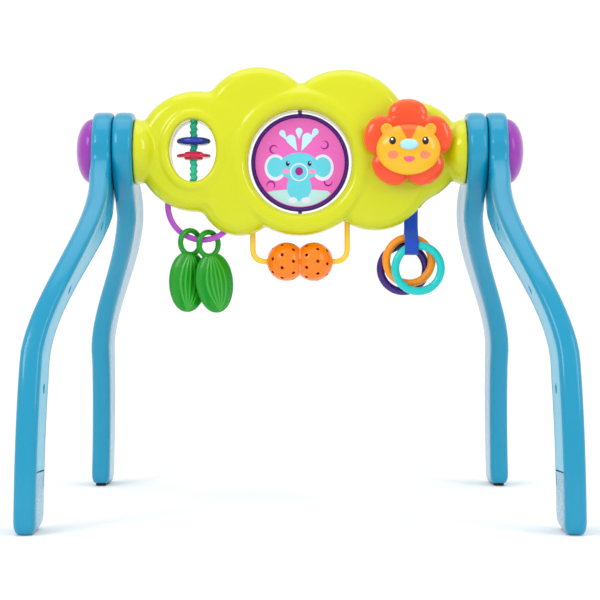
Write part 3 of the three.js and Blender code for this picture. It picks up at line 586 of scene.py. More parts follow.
# %% The leg's centreline
LEG_HALF_THICK = 10.8
LEG_DISC_R = 43.0
LEG_EDGE = 6.5
LEG_FALL = 386.5
LEG_CURVE = [(0.0, 0.0), (30.0, -100.0), (233.0, -100.0), (216.0, -LEG_FALL)]
SWEEP_FROM, SWEEP_TO = 51.0, 228.0
SCREW_DROPS = [85.0, 153.0, 250.0, 347.0]
LEG_X = {"front": 214.8, "rear": 192.4}
LEG_SWEEP, LEG_FLARE = 46.4, 3.0


def smoothed(value, low, high):
    share = min(1.0, max(0.0, (value - low) / (high - low)))
    return share * share * (3 - 2 * share)


def sideways(drop):
    """How far aside the leg is at a drop below the fold axis."""
    tail = min(1.0, max(0.0, (drop - SWEEP_TO) / (LEG_FALL - SWEEP_TO)))
    return LEG_SWEEP * smoothed(drop, SWEEP_FROM, SWEEP_TO) + LEG_FLARE * tail


def leg_station(t):
    """Middle, across direction and half width of the leg's section at t."""
    a, b, c, d = LEG_CURVE
    s = 1 - t
    weights = (s**3, 3 * s * s * t, 3 * s * t * t, t**3)
    y = sum(w * p[0] for w, p in zip(weights, LEG_CURVE))
    z = sum(w * p[1] for w, p in zip(weights, LEG_CURVE))
    slopes = (3 * s * s, 6 * s * t, 3 * t * t)
    dy = slopes[0] * (b[0] - a[0]) + slopes[1] * (c[0] - b[0]) + slopes[2] * (d[0] - c[0])
    dz = slopes[0] * (b[1] - a[1]) + slopes[1] * (c[1] - b[1]) + slopes[2] * (d[1] - c[1])
    length = math.hypot(dy, dz)
    half = 33.0 - t
    return (y, HUB_Z + z), (-dz / length, dy / length), half


def leg_ring(station, narrow, low, high, edge, steps=4):
    """A rounded rectangle round one section, from low to high in thickness."""
    (y, z), (across_y, across_z), half = station
    half = max(half - narrow, 0.4)
    edge = min(edge, half * 0.98, (high - low) / 2 * 0.98)
    aside = sideways(HUB_Z - z)
    lean = (sideways(HUB_Z - z + 1) - sideways(HUB_Z - z - 1)) / 2 * across_z
    ring = []
    corners = [(1, 1, 0), (-1, 1, 90), (-1, -1, 180), (1, -1, 270)]
    for sign_u, sign_v, start in corners:
        middle_u = sign_u * (half - edge)
        middle_v = (high - edge) if sign_v > 0 else (low + edge)
        for step in range(steps + 1):
            angle = math.radians(start + 90 * step / steps)
            u = middle_u + edge * math.cos(angle)
            v = middle_v + edge * math.sin(angle)
            ring.append((v + aside - lean * u, y + across_y * u, z + across_z * u))
        if sign_v > 0 and sign_u > 0 or sign_v < 0 and sign_u < 0:
            far = -sign_u * (half - edge)
            face_v = high if sign_v > 0 else low
            for share in (0.25, 0.5, 0.75):
                u = middle_u + (far - middle_u) * share
                ring.append((face_v + aside - lean * u, y + across_y * u, z + across_z * u))
    return ring


def leg_length(start, end, narrow, low, high, edge, steps):
    rings = []
    for step in range(steps + 1):
        station = leg_station(start + (end - start) * step / steps)
        rings.append(leg_ring(station, narrow, low, high, edge))
    return rings


# %% Loft the whole leg and its cover
# The foot is rounded over the last small share of the centreline.
FOOT_FROM, FOOT_SHARE = 0.985, 0.015


def leg_body():
    """The leg from behind its hub disc down to its rounded foot."""
    rings = []
    neck_length = math.hypot(*LEG_CURVE[1])
    neck_y, neck_z = LEG_CURVE[1][0] / neck_length, LEG_CURVE[1][1] / neck_length
    back_steps = 14
    for step in range(back_steps + 1):
        back = LEG_DISC_R * math.cos(math.pi / 2 * step / back_steps)
        width = math.sqrt(max(LEG_DISC_R**2 - back**2, 0.3))
        edge_left = LEG_DISC_R - back
        lost = LEG_EDGE - math.sqrt(max(LEG_EDGE**2 - max(LEG_EDGE - edge_left, 0) ** 2, 0))
        thick = LEG_HALF_THICK - lost
        station = ((-back * neck_y, HUB_Z - back * neck_z), (-neck_z, neck_y), width)
        rings.append(leg_ring(station, 0, -thick, thick, LEG_EDGE))
    run = 52
    for step in range(1, run + 1):
        t = FOOT_FROM * step / run
        station = leg_station(t)
        from_hub = math.hypot(station[0][0], station[0][1] - HUB_Z)
        disc = math.sqrt(max(LEG_DISC_R**2 - from_hub**2, 0))
        half = (station[2] ** 6 + disc**6) ** (1 / 6)
        half = min(half, LEG_DISC_R)
        station = (station[0], station[1], half)
        rings.append(leg_ring(station, 0, -LEG_HALF_THICK, LEG_HALF_THICK, LEG_EDGE))
    for step in range(1, 7):
        angle = math.pi / 2 * step / 6
        lost = 6.0 * (1 - math.cos(angle))
        t = FOOT_FROM + FOOT_SHARE * math.sin(angle)
        thick = LEG_HALF_THICK - lost * 0.6
        rings.append(leg_ring(leg_station(t), lost, -thick, thick, LEG_EDGE))
    return lofted(rings)


def hidden_object(name, part):
    mesh = raw_mesh(name, *part)
    tidy_mesh(mesh)
    return shown(name, mesh)


def finished_mesh(made):
    """The mesh of an object as its modifiers leave it."""
    seen = bpy.context.evaluated_depsgraph_get()
    return bpy.data.meshes.new_from_object(made.evaluated_get(seen))


def carved(mesh, cutters, name):
    """The mesh with the cutters taken out of it, as a plain mesh."""
    work = shown(f"{name}_work", mesh)
    for cutter in cutters:
        cut = work.modifiers.new("cut", "BOOLEAN")
        cut.operation = "DIFFERENCE"
        cut.solver = "EXACT"
        cut.object = cutter
    result = finished_mesh(work)
    result.name = name
    bpy.data.objects.remove(work)
    for cutter in cutters:
        bpy.data.objects.remove(cutter)
    return result


# %% Places of the leg's screws
def at_drop(drop):
    low, high = 0.0, 1.0
    for _ in range(40):
        t = (low + high) / 2
        if HUB_Z - leg_station(t)[0][1] < drop:
            low = t
        else:
            high = t
    (y, z), _, _ = leg_station(low)
    return sideways(drop), y, z


def placed_leg_part(part, end, side):
    """A leg part moved from the leg's own frame to its corner of the gym."""
    lean = -1 if end == "front" else 1
    points = [(side * (x + LEG_X[end]), lean * y, z) for x, y, z in part[0]]
    return points, part[1]


def well_pins(cover_side, radius, low, high):
    pins = []
    for drop in SCREW_DROPS:
        aside, y, z = at_drop(drop)
        reach = sorted((cover_side * low, cover_side * high))
        profile = [(0, reach[0]), (radius, reach[0]), (radius, reach[1]), (0, reach[1])]
        pins.append(turned("x", profile, 28, (aside, y, z)))
    return joined(*pins)


# %% Make the four legs and their covers
COVER_FROM, COVER_TO = 0.3, 0.93
COVER_RIM = 6.5
COVER_THICK = 3.0
BORE_R = 13.4
SEAT_X, SEAT_R = 218.6, 36.6
BEYOND = 300  # far enough for a cutter to pass right through
for end in ("front", "rear"):
    cover_side = -1 if end == "front" else 1
    for side_name, side in (("left", -1), ("right", 1)):
        body = f"{end}_{side_name}_leg"
        inside = sorted((cover_side * (LEG_HALF_THICK - COVER_THICK - 0.1), cover_side * 14.0))
        recess_rings = leg_length(COVER_FROM, COVER_TO, COVER_RIM - 0.6, *inside, 0.01, 40)
        recess = placed_leg_part(lofted(recess_rings), end, side)
        cutters = [hidden_object("recess", recess)]
        bore_line = [(0, -BEYOND), (BORE_R, -BEYOND), (BORE_R, BEYOND), (0, BEYOND)]
        bore = turned("x", bore_line, 40, (0, 0, HUB_Z))
        cutters.append(hidden_object("bore", bore))
        if end == "front":
            seat = [(0, SEAT_X), (SEAT_R, SEAT_X), (SEAT_R, BEYOND), (0, BEYOND)]
            turned_seat = turned("x", seat, 64, (0, 0, HUB_Z))
            seat_points = [(side * x, y, z) for x, y, z in turned_seat[0]]
            cutters.append(hidden_object("seat", (seat_points, turned_seat[1])))
        whole = raw_mesh(f"{body}_arch", *placed_leg_part(leg_body(), end, side))
        tidy_mesh(whole)
        arch = carved(whole, cutters, f"{body}_arch")
        place_piece(f"{body}_arch", arch, body, leg_blue, [f"{body}_shell"])

        face = (LEG_HALF_THICK - 0.05, LEG_HALF_THICK - COVER_THICK)
        face = sorted(cover_side * depth for depth in face)
        plate_rings = leg_length(COVER_FROM + 0.002, COVER_TO - 0.002, COVER_RIM, *face, 0.9, 60)
        plate = raw_mesh("plate", *placed_leg_part(lofted(plate_rings), end, side))
        tidy_mesh(plate)
        wells = placed_leg_part(well_pins(cover_side, 5.2, 9.0, 14.0), end, side)
        cover_mesh = carved(plate, [hidden_object("wells", wells)], f"{body}_plate")
        place_piece(
            f"{body}_plate", cover_mesh, body, cover_painted_light_blue, [f"{body}_cover"]
        )
print("four legs with covers")


# %% [markdown]
# ## Screws, set by Geometry Nodes
# Sixteen leg screws share one head with a cross slot. A Geometry Nodes tree puts the head on
# each point that it is given, faces it the way the point says, and turns each one by a random
# amount, because nobody lines screws up on a production line. The same tree is used later for
# stitches and for the rattle's holes, so its inputs have general names.

# %% A tree that sets a piece on points
def finish_tree(tree, made, given, put_out):
    """End a tree: make its geometry real, give it its finish and put it out."""
    real = tree.nodes.new("GeometryNodeRealizeInstances")
    paint = tree.nodes.new("GeometryNodeSetMaterial")
    tree.links.new(made, real.inputs["Geometry"])
    tree.links.new(real.outputs["Geometry"], paint.inputs["Geometry"])
    tree.links.new(given.outputs["Finish"], paint.inputs["Material"])
    tree.links.new(paint.outputs["Geometry"], put_out.inputs["Geometry"])


def build_set_on_points():
    tree = bpy.data.node_groups.new("set_on_points", "GeometryNodeTree")
    face = tree.interface
    face.new_socket("Geometry", in_out="INPUT", socket_type="NodeSocketGeometry")
    face.new_socket("Piece", in_out="INPUT", socket_type="NodeSocketObject")
    face.new_socket("Size", in_out="INPUT", socket_type="NodeSocketFloat").default_value = 1.0
    face.new_socket("Turn", in_out="INPUT", socket_type="NodeSocketFloat")
    face.new_socket("Seed", in_out="INPUT", socket_type="NodeSocketInt")
    face.new_socket("Finish", in_out="INPUT", socket_type="NodeSocketMaterial")
    face.new_socket("Geometry", in_out="OUTPUT", socket_type="NodeSocketGeometry")
    nodes, links = tree.nodes, tree.links
    given = nodes.new("NodeGroupInput")
    put_out = nodes.new("NodeGroupOutput")
    points = nodes.new("GeometryNodeMeshToPoints")
    info = nodes.new("GeometryNodeObjectInfo")
    facing = nodes.new("GeometryNodeInputNamedAttribute")
    facing.data_type = "FLOAT_VECTOR"
    facing.inputs["Name"].default_value = "facing"
    align = nodes.new("FunctionNodeAlignRotationToVector")
    align.axis = "Z"
    turn = nodes.new("FunctionNodeRandomValue")
    turn.data_type = "FLOAT"
    spin = nodes.new("ShaderNodeCombineXYZ")
    twist = nodes.new("FunctionNodeRotateRotation")
    twist.rotation_space = "LOCAL"
    place = nodes.new("GeometryNodeInstanceOnPoints")
    links.new(given.outputs["Geometry"], points.inputs["Mesh"])
    links.new(points.outputs["Points"], place.inputs["Points"])
    links.new(given.outputs["Piece"], info.inputs["Object"])
    links.new(info.outputs["Geometry"], place.inputs["Instance"])
    links.new(facing.outputs["Attribute"], align.inputs["Vector"])
    links.new(given.outputs["Turn"], turn.inputs[3])
    links.new(given.outputs["Seed"], turn.inputs["Seed"])
    links.new(turn.outputs[1], spin.inputs["Z"])
    links.new(align.outputs["Rotation"], twist.inputs["Rotation"])
    links.new(spin.outputs["Vector"], twist.inputs["Rotate By"])
    links.new(twist.outputs["Rotation"], place.inputs["Rotation"])
    links.new(given.outputs["Size"], place.inputs["Scale"])
    finish_tree(tree, place.outputs["Instances"], given, put_out)
    return tree


SET_ON_POINTS = build_set_on_points()


def socket_name(tree, label):
    for item in tree.interface.items_tree:
        if item.item_type == "SOCKET" and item.in_out == "INPUT" and item.name == label:
            return item.identifier
    raise ValueError(label)


def grown(tree, seed_mesh, values):
    """The mesh that a Geometry Nodes tree makes from a seed mesh."""
    host = shown("host", seed_mesh)
    grow = host.modifiers.new("grow", "NODES")
    grow.node_group = tree
    for label, value in values.items():
        grow[socket_name(tree, label)] = value
    result = finished_mesh(host)
    bpy.data.objects.remove(host)
    return result


def facing_points(places, directions):
    mesh = bpy.data.meshes.new("places")
    mesh.from_pydata([tuple(c * MM for c in p) for p in places], [], [])
    facing = mesh.attributes.new("facing", "FLOAT_VECTOR", "POINT")
    facing.data.foreach_set("vector", np.asarray(directions, np.float32).ravel())
    return mesh


# %% One screw head with a cross slot
def screw_head():
    """A low domed head, 8 mm across, with a sunk cross."""
    points = []
    for radius, height in ((4.0, -1.6), (4.0, 0.0), (3.3, 0.5)):
        for step in range(16):
            angle = 2 * math.pi * (step + 0.5) / 16
            points.append((radius * math.cos(angle), radius * math.sin(angle), height))
    cross = [(2.2, 0.45), (0.45, 0.45), (0.45, 2.2), (-0.45, 2.2), (-0.45, 0.45), (-2.2, 0.45)]
    cross += [(-x, -y) for x, y in cross]
    for height in (0.7, -0.6):
        points.extend((x, y, height) for x, y in cross)
    faces = [list(range(16))[::-1]]
    for row in range(2):
        for i in range(16):
            j = (i + 1) % 16
            faces.append([row * 16 + i, row * 16 + j, (row + 1) * 16 + j, (row + 1) * 16 + i])
    top, floor_of_slot = 48, 60
    nearest = []
    for x, y in cross:
        share = math.degrees(math.atan2(y, x)) % 360
        nearest.append(int(round(share / 22.5 - 0.5)) % 16)
    for i in range(12):
        j = (i + 1) % 12
        rim = [32 + nearest[i]]
        step = nearest[i]
        while step != nearest[j]:
            step = (step + 1) % 16
            rim.append(32 + step)
        faces.append([top + i, *rim, top + j])
        faces.append([top + i, top + j, floor_of_slot + j, floor_of_slot + i])
    faces.append([floor_of_slot + i for i in range(12)])
    return points, faces


head = hidden_object("screw_head", screw_head())

# %% Sixteen leg screws
for end in ("front", "rear"):
    cover_side = -1 if end == "front" else 1
    for side_name, side in (("left", -1), ("right", 1)):
        body = f"{end}_{side_name}_leg"
        places = [(x + cover_side * 8.7, y, z) for x, y, z in map(at_drop, SCREW_DROPS)]
        places = placed_leg_part((places, []), end, side)[0]
        seed_mesh = facing_points(places, [(side * cover_side, 0, 0)] * 4)
        values = {"Piece": head, "Size": 1.0, "Turn": 3.1, "Seed": 7 + side, "Finish": steel}
        screws = grown(SET_ON_POINTS, seed_mesh, values)
        place_piece(f"{body}_screws", screws, body, None)
bpy.data.objects.remove(head)
print("sixteen leg screws")

# %% [markdown]
# The foot pads keep their CAD shape: a small block of rubber let into the foot. They only need
# a better finish, which goes into their own material slots.

# %% Finish for a CAD piece that keeps its shape
def refinish(nodes, finish):
    for node in nodes:
        kept = bpy.data.objects.get(node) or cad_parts[node]
        if not kept.data.materials:
            kept.data.materials.append(finish)
        for number in range(len(kept.material_slots)):
            kept.material_slots[number].material = finish


foot_pads = [f"{e}_{s}_foot_pad" for e in ("front", "rear") for s in ("left", "right")]
refinish(foot_pads, foot_grey)

# %% [markdown]
# ## Purple release caps
# Each hub ends in a glossy purple dome. It is a turned shape: a stem that runs in the axle, a
# hollow underside, a short straight skirt and a dome that rolls over smoothly.

# %% Turn the caps
def cap_profile(base, tip, radius):
    stem_end = base - 26.2
    profile = [(0, stem_end), (8.4, stem_end), (8.4, base + 14.0)]
    for step in range(1, 9):
        angle = math.pi / 2 * (1 - step / 8)
        inner_r = max(8.6, (radius - 3) * math.cos(angle))
        profile.append((inner_r, base + 14.0 * math.sin(angle)))
    profile.append((radius - 0.4, base))
    for step in range(0, 19):
        angle = math.pi / 2 * step / 18
        across = radius * math.cos(angle) ** 0.9
        up = (tip - base - 2.0) * math.sin(angle) ** 0.95
        profile.append((across, base + 2.0 + up))
    profile[-1] = (0, tip)
    return profile


for side_name, side in (("left", -1), ("right", 1)):
    low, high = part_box(f"{side_name}_release_button")
    tip = max(abs(low.x), abs(high.x)) / MM
    cap_points, cap_faces = turned("x", cap_profile(tip - 20.8, tip, 36.0), 72, (0, 0, HUB_Z))
    cap_points = [(side * x, y, z) for x, y, z in cap_points]
    piece(
        f"{side_name}_purple_cap",
        cap_points,
        cap_faces,
        f"{side_name}_button",
        "purple_plastic",
        cap_purple,
        [f"{side_name}_release_button"],
        sharp=50,
    )
print("caps reach", round(tip, 1), "mm from the middle")

# %% [markdown]
# ## The spinner
# The spinner is a deep purple hoop with a printed disc on each face. The hoop is turned, with
# two short pins that it spins on. The print is a little scene of a bathing elephant. It is laid
# down as real printing is: one thin shape of flat ink over another, each a hair higher than the
# last, so no picture file is needed. The rear print is the same one turned round.

# %% Flat patches of ink and paint
def patch(outline, surface, lift, sunk=0.1, rings=2):
    """A thin closed patch on a surface, from an outline of (u, w) points round its middle."""
    count = len(outline)
    middle_u = sum(u for u, _ in outline) / count
    middle_w = sum(w for _, w in outline) / count
    points = []
    for height in (lift, -sunk):
        points.append((middle_u, surface(middle_u, middle_w) + height, middle_w))
        for ring in range(1, rings + 1):
            share = ring / rings
            for u, w in outline:
                across = middle_u + (u - middle_u) * share
                up = middle_w + (w - middle_w) * share
                points.append((across, surface(across, up) + height, up))
    faces = []
    layer = 1 + rings * count
    for start, flip in ((0, False), (layer, True)):
        for i in range(count):
            j = (i + 1) % count
            triangle = [start, start + 1 + i, start + 1 + j]
            faces.append(triangle[::-1] if flip else triangle)
            for ring in range(rings - 1):
                low = start + 1 + ring * count
                high = low + count
                corners = [low + i, high + i, high + j, low + j]
                faces.append(corners[::-1] if flip else corners)
    rim = 1 + (rings - 1) * count
    for i in range(count):
        j = (i + 1) % count
        faces.append([rim + i, layer + rim + i, layer + rim + j, rim + j])
    return points, faces


def oval_outline(u, w, half_u, half_w, steps=28, start=0.0, end=360.0):
    outline = []
    for step in range(steps):
        angle = math.radians(start + (end - start) * step / steps)
        outline.append((u + half_u * math.cos(angle), w + half_w * math.sin(angle)))
    return outline


def drop_outline(u, w, tip_u, tip_w, radius):
    """A water drop with its tip towards another point."""
    heading = math.atan2(tip_w - w, tip_u - u)
    outline = [(tip_u, tip_w)]
    for step in range(13):
        angle = heading + math.radians(60 + 240 * step / 12)
        outline.append((u + radius * math.cos(angle), w + radius * math.sin(angle)))
    return outline


def swirl_outline(u, w, radius, width, start):
    """Three quarters of a curl, thick in its middle."""
    outer, inner = [], []
    for step in range(13):
        angle = math.radians(start + 270 * step / 12)
        swell = width * math.sin(math.pi * (step + 0.5) / 13) / 2
        for line, r in ((outer, radius + swell), (inner, radius - swell)):
            line.append((u + r * math.cos(angle), w + r * math.sin(angle)))
    return outer, inner


# %% The elephant print, in millimetres round the spinner's middle
INK_TONES = {
    "pink": ((232, 104, 192), (222, 88, 180)),
    "sky": ((98, 206, 226), (80, 192, 216)),
    "ear": ((226, 226, 246), (210, 212, 240)),
    "water": ((192, 236, 250), (176, 228, 246)),
    "plum": ((160, 22, 132), (140, 10, 112)),
    "ground": ((184, 224, 226), (170, 214, 218)),
    "dark": ((24, 26, 60), (14, 16, 44)),
    "blush": ((244, 150, 190), (238, 136, 180)),
}
INKS = {}
for ink_name, ink_tones in INK_TONES.items():
    ink_rough = 0.2 if ink_name == "dark" else 0.26
    INKS[ink_name] = plastic(f"ink_{ink_name}", *ink_tones, roughness=ink_rough, peel=0.08)


def elephant_shapes():
    """Ink names with outlines, from the lowest layer to the highest."""
    shapes = []
    ground = oval_outline(0, 0, 48.2, 48.2, 30, 222, 318)
    shapes.append(("ground", ground + [(30, -31), (12, -29.5), (-12, -29.5), (-30, -31)]))
    shapes.append(("sky", oval_outline(-1, -27, 13.5, 15)))
    shapes.append(("ear", oval_outline(-27, -5.5, 12.0, 14.5)))
    shapes.append(("ear", oval_outline(25, -5.5, 12.0, 14.5)))
    shapes.append(("sky", oval_outline(-27, -5.0, 9.0, 11.0)))
    shapes.append(("sky", oval_outline(25, -5.0, 9.0, 11.0)))
    shapes.append(("sky", oval_outline(-1, -4.5, 22.0, 15.5, 40)))
    shapes.append(("ear", oval_outline(-8.0, -41.5, 5.2, 3.4)))
    shapes.append(("ear", oval_outline(6.5, -41.5, 5.2, 3.4)))
    shapes.append(("blush", oval_outline(-15.5, -9.5, 4.0, 2.8)))
    shapes.append(("blush", oval_outline(13.5, -9.5, 4.0, 2.8)))
    shapes.append(("ear", oval_outline(-1, -10.5, 10.0, 10.0)))
    shapes.append(("sky", oval_outline(-1, -10.5, 8.6, 8.6)))
    shapes.append(("plum", oval_outline(-1, -9.5, 4.4, 4.6)))
    for u in (-13.5, 10.5):
        shapes.append(("dark", oval_outline(u, -1.0, 2.1, 2.9, 18)))
        shapes.append(("ear", oval_outline(u + 0.6, 0.2, 0.75, 0.9, 12)))
    shapes.append(("water", drop_outline(-10, 25.5, -3, 12.5, 5.2)))
    shapes.append(("water", drop_outline(8, 27, 1.5, 12.5, 5.6)))
    shapes.append(("water", drop_outline(-19.5, 32.5, -14, 24, 3.4)))
    shapes.append(("water", drop_outline(17, 34, 12, 25.5, 3.6)))
    shapes.append(("water", drop_outline(-1, 34.5, -1, 25.5, 3.8)))
    return shapes


def curl_parts(surface, lift):
    parts = []
    for u, w, start in ((-28.5, 14.5, 20), (26.5, 19.5, 200), (31, -21, 110), (-32, -25, 300)):
        outer, inner = swirl_outline(u, w, 4.3, 2.2, start)
        for step in range(12):
            strip = [outer[step], outer[step + 1], inner[step + 1], inner[step]]
            parts.append(patch(strip, surface, lift, rings=1))
    return parts


def print_disc(node, face_side):
    """One printed disc with all its ink, as one mesh with a finish for each ink."""
    low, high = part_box(node)
    near, far = sorted((low.y / MM, high.y / MM), key=abs)
    radius = (high.x - low.x) / 2 / MM
    depth = abs(far - near)
    names = list(INKS)
    rounded = [(0, 0), (radius, 0), (radius, depth - 0.5), (radius - 0.5, depth), (0, depth)]
    stack = [("pink", turned("y", rounded, 96))]
    flat = lambda u, w: depth
    for number, (ink, outline) in enumerate(elephant_shapes()):
        stack.append((ink, patch(outline, flat, 0.03 + 0.022 * number)))
    stack.extend(("plum", part) for part in curl_parts(flat, 0.04))
    points, faces = joined(*(part for _, part in stack))
    placed = [
        (-face_side * x, near + face_side * y, z + WINDOW_Z) for x, y, z in points
    ]
    mesh = raw_mesh(f"{node}_ink", placed, faces)
    numbers = []
    for ink, part in stack:
        numbers.extend([names.index(ink)] * len(part[1]))
    for ink in names:
        mesh.materials.append(INKS[ink])
    mesh.polygons.foreach_set("material_index", numbers[: len(mesh.polygons)])
    return mesh


# %% Hoop and prints
rim_low, rim_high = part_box("spinner_rim")
hoop_r = (rim_high.x - rim_low.x) / 2 / MM
hoop = [(0, -0.5), (49.6, -0.5), (50.2, -3.4), (50.9, -4.0), (52.6, -3.5), (53.5, -2.1)]
hoop = hoop + [(hoop_r, 0.0)] + [(r, -y) for r, y in reversed(hoop)]
pin_top = (rim_high.z - rim_low.z) / 2 / MM
pin_up = turned("z", [(0, hoop_r - 2), (2.2, hoop_r - 2), (2.2, pin_top - 0.6), (0, pin_top)], 20)
pin_down = ([(x, y, -z) for x, y, z in pin_up[0]], pin_up[1])
hoop_points, hoop_faces = joined(turned("y", hoop, 128), pin_up, pin_down)
hoop_points = [(x, y, z + WINDOW_Z) for x, y, z in hoop_points]
piece("spinner_hoop", hoop_points, hoop_faces, "spinner", "rim_purple", rim_purple, ["spinner_rim"])
for face_name, face_side in (("front", -1), ("rear", 1)):
    node = f"spinner_print_{face_name}"
    print_mesh = print_disc(node, face_side)
    place_piece(f"{face_name}_elephant_print", print_mesh, "spinner", None, [node])
print("spinner with", len(elephant_shapes()), "ink shapes on each face")

# %% [markdown]
# ## The threaded rod and its two discs
# In the oval window a fat plastic screw holds two discs that click up and down as they turn.
# The thread is one continuous helix: the radius at each point depends on how far round and how
# far up it is. The blue disc is a thick lens; the crimson one is a thin plate with a boss.

# %% Helical rod
def helical_rod(root, crest, pitch, low, high, steps=24):
    points, faces = [], []
    rows = int((high - low) / pitch * 12)
    for row in range(rows + 1):
        z = low + (high - low) * row / rows
        for step in range(steps):
            angle = 2 * math.pi * step / steps
            phase = (z / pitch - step / steps) % 1.0
            wave = 1 - abs(2 * phase - 1)
            fade = min(1.0, (z - low) / 3, (high - z) / 3)
            r = root + (crest - root) * wave * max(fade, 0)
            points.append((ROD_X + r * math.cos(angle), r * math.sin(angle), z))
    for row in range(rows):
        for step in range(steps):
            after = (step + 1) % steps
            low_row, high_row = row * steps, (row + 1) * steps
            faces.append([low_row + step, low_row + after, high_row + after, high_row + step])
    faces.append(list(range(steps))[::-1])
    faces.append([rows * steps + i for i in range(steps)])
    return points, faces


rod_low, rod_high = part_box("threaded_rod")
screw_part = helical_rod(3.0, 4.7, 6.6, rod_low.z / MM, rod_high.z / MM)
piece("screw_rod", *screw_part, "header", "teal_plastic", rod_teal, ["threaded_rod"], sharp=60)

# %% Two discs
blue_middle = middle_and_half("blue_disc")[0]
lens = [(4.9, -4.4), (8.0, -4.5), (13.5, -4.0), (17.4, -2.4), (18.5, -1.2), (18.7, 0)]
lens = lens + [(r, -z) for r, z in reversed(lens[:-1])]
blue_part = turned("z", lens, 72, tuple(blue_middle))
piece("blue_lens_disc", *blue_part, "upper_disc", "navy_plastic", disc_blue, ["blue_disc"])
red_middle = middle_and_half("red_disc")[0]
plate = [(4.9, -4.4), (8.6, -4.5), (9.8, -3.9), (10.6, -1.9), (17.4, -1.8), (18.5, -1.0)]
plate = plate + [(18.7, 0.0)] + [(r, -z) for r, z in reversed(plate)]
red_part = turned("z", plate, 72, tuple(red_middle))
piece("crimson_disc", *red_part, "lower_disc", "crimson_plastic", disc_crimson, ["red_disc"])

# %% [markdown]
# ## The flower
# A cheerful animal face sits in five fat petals. Petals and mane are one glowing orange-red
# moulding, slightly see-through at its rims, so its material has a little light scattering
# inside. On top of that, its colour is painted a lighter orange towards its rims as seen from
# the camera, a painted glow of light. The face is a yellow dome with two small ears. Eyes,
# mouth and blush are printed, so they are thin patches that follow the dome.

# %% Petals from a distance field
face_middle = middle_and_half("flower_face")[0]
flower_x = face_middle.x
flower_z = HUB_Z + 5.5
petal_low, petal_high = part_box("flower_petals")
petal_mid_y = (petal_low.y + petal_high.y) / 2 / MM


def egg(x, y, z, half_x, half_y, half_z):
    share = np.maximum(np.sqrt((x / half_x) ** 2 + (y / half_y) ** 2 + (z / half_z) ** 2), 1e-6)
    slope = np.sqrt((x / half_x**2) ** 2 + (y / half_y**2) ** 2 + (z / half_z**2) ** 2)
    return (share - 1) * share / np.maximum(slope, 1e-9)


def petals_field(x, y, z):
    mane = rounded_section(np.hypot(x, z), 34.0, y, 6.6, 5.5)
    for number in range(5):
        turn = math.radians(72 * number)
        across = x * math.cos(turn) - z * math.sin(turn)
        out = x * math.sin(turn) + z * math.cos(turn)
        petal = egg(across, y, out - 32.5, 21.6, 8.0, 16.4)
        mane = soft_union(mane, petal, 1.6)
    return mane


petal_step = 0.9
petal_low_corner = (-52.0, -10.0, -52.0)
px, py, pz = grid_points(petal_low_corner, (52.0, 10.0, 52.0), petal_step)
petal_mesh = skin_of("flower_petals_soft", petals_field(px, py, pz), petal_low_corner, petal_step)
shift = Vector((flower_x * MM, petal_mid_y * MM, flower_z * MM))
petal_mesh.transform(Matrix.Translation(shift))


# %% Petal and face finishes
def petal_finish():
    material = plastic("petal_orange", (246, 82, 22), (226, 40, 14), 0.16, 0.6, 0.15, 0.5, 0.35)
    tree = material.node_tree
    shader = tree.nodes["Principled BSDF"]
    # Painted light: the petal colour turns a lighter orange where the surface turns away from the
    # camera, a painted glow at the rims.
    rim = tree.nodes.new("ShaderNodeLayerWeight")
    rim.inputs["Blend"].default_value = 0.35
    skin = next(n for n in tree.nodes if n.type == "GROUP")
    painted_rim_light = mix_colour(tree, rim.outputs["Facing"], skin.outputs["Colour"], colour(255, 132, 60))
    tree.links.new(painted_rim_light, shader.inputs["Base Color"])
    return material


def face_finish():
    """Yellow dome that warms to orange at its top, with the mane dipping between the eyes."""
    material = plastic("face_yellow", (255, 196, 24), (255, 168, 18), 0.18, 0.5, 0.12, 0.6, 0.15)
    tree = material.node_tree
    shader = tree.nodes["Principled BSDF"]
    skin = next(n for n in tree.nodes if n.type == "GROUP")
    where = tree.nodes.new("ShaderNodeTexCoord").outputs["Object"]
    move = tree.nodes.new("ShaderNodeMapping")
    move.inputs["Location"].default_value = (-flower_x * MM, 0, -face_middle.z * MM)
    tree.links.new(where, move.inputs["Vector"])
    split = tree.nodes.new("ShaderNodeSeparateXYZ")
    tree.links.new(move.outputs["Vector"], split.inputs[0])
    side = maths(tree, "ABSOLUTE", split.outputs["X"])
    wedge = maths(tree, "MULTIPLY_ADD", split.outputs["Z"], 0.5, -0.0025)
    inside = maths(tree, "SUBTRACT", wedge, side)
    fringe = tree.nodes.new("ShaderNodeMapRange")
    fringe.interpolation_type = "SMOOTHSTEP"
    fringe.inputs["From Min"].default_value = -0.0008
    fringe.inputs["From Max"].default_value = 0.0012
    tree.links.new(inside, fringe.inputs["Value"])
    warm = tree.nodes.new("ShaderNodeMapRange")
    warm.inputs["From Min"].default_value = -0.022
    warm.inputs["From Max"].default_value = 0.026
    tree.links.new(split.outputs["Z"], warm.inputs["Value"])
    base = mix_colour(tree, warm.outputs["Result"], skin.outputs["Colour"], colour(255, 166, 20))
    tipped = mix_colour(tree, fringe.outputs["Result"], base, colour(246, 96, 22))
    tree.links.new(tipped, shader.inputs["Base Color"])
    return material


petal_orange = petal_finish()
face_yellow = face_finish()
place_piece(
    "flower_petals_soft", petal_mesh, "flower", petal_orange, ["flower_petals"]
)

# %% Face dome with ears
face_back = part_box("flower_face")[1].y / MM
face_z = flower_z - 6.6
FACE_HALF = (34.6, 27.5)
FACE_DEPTH = 13.0


def face_surface(x, z):
    """How far the dome stands out from the face's back, near its own middle."""
    inside = max(0.0, 1 - (x / FACE_HALF[0]) ** 2 - (z / FACE_HALF[1]) ** 2)
    return FACE_DEPTH * math.sqrt(inside)


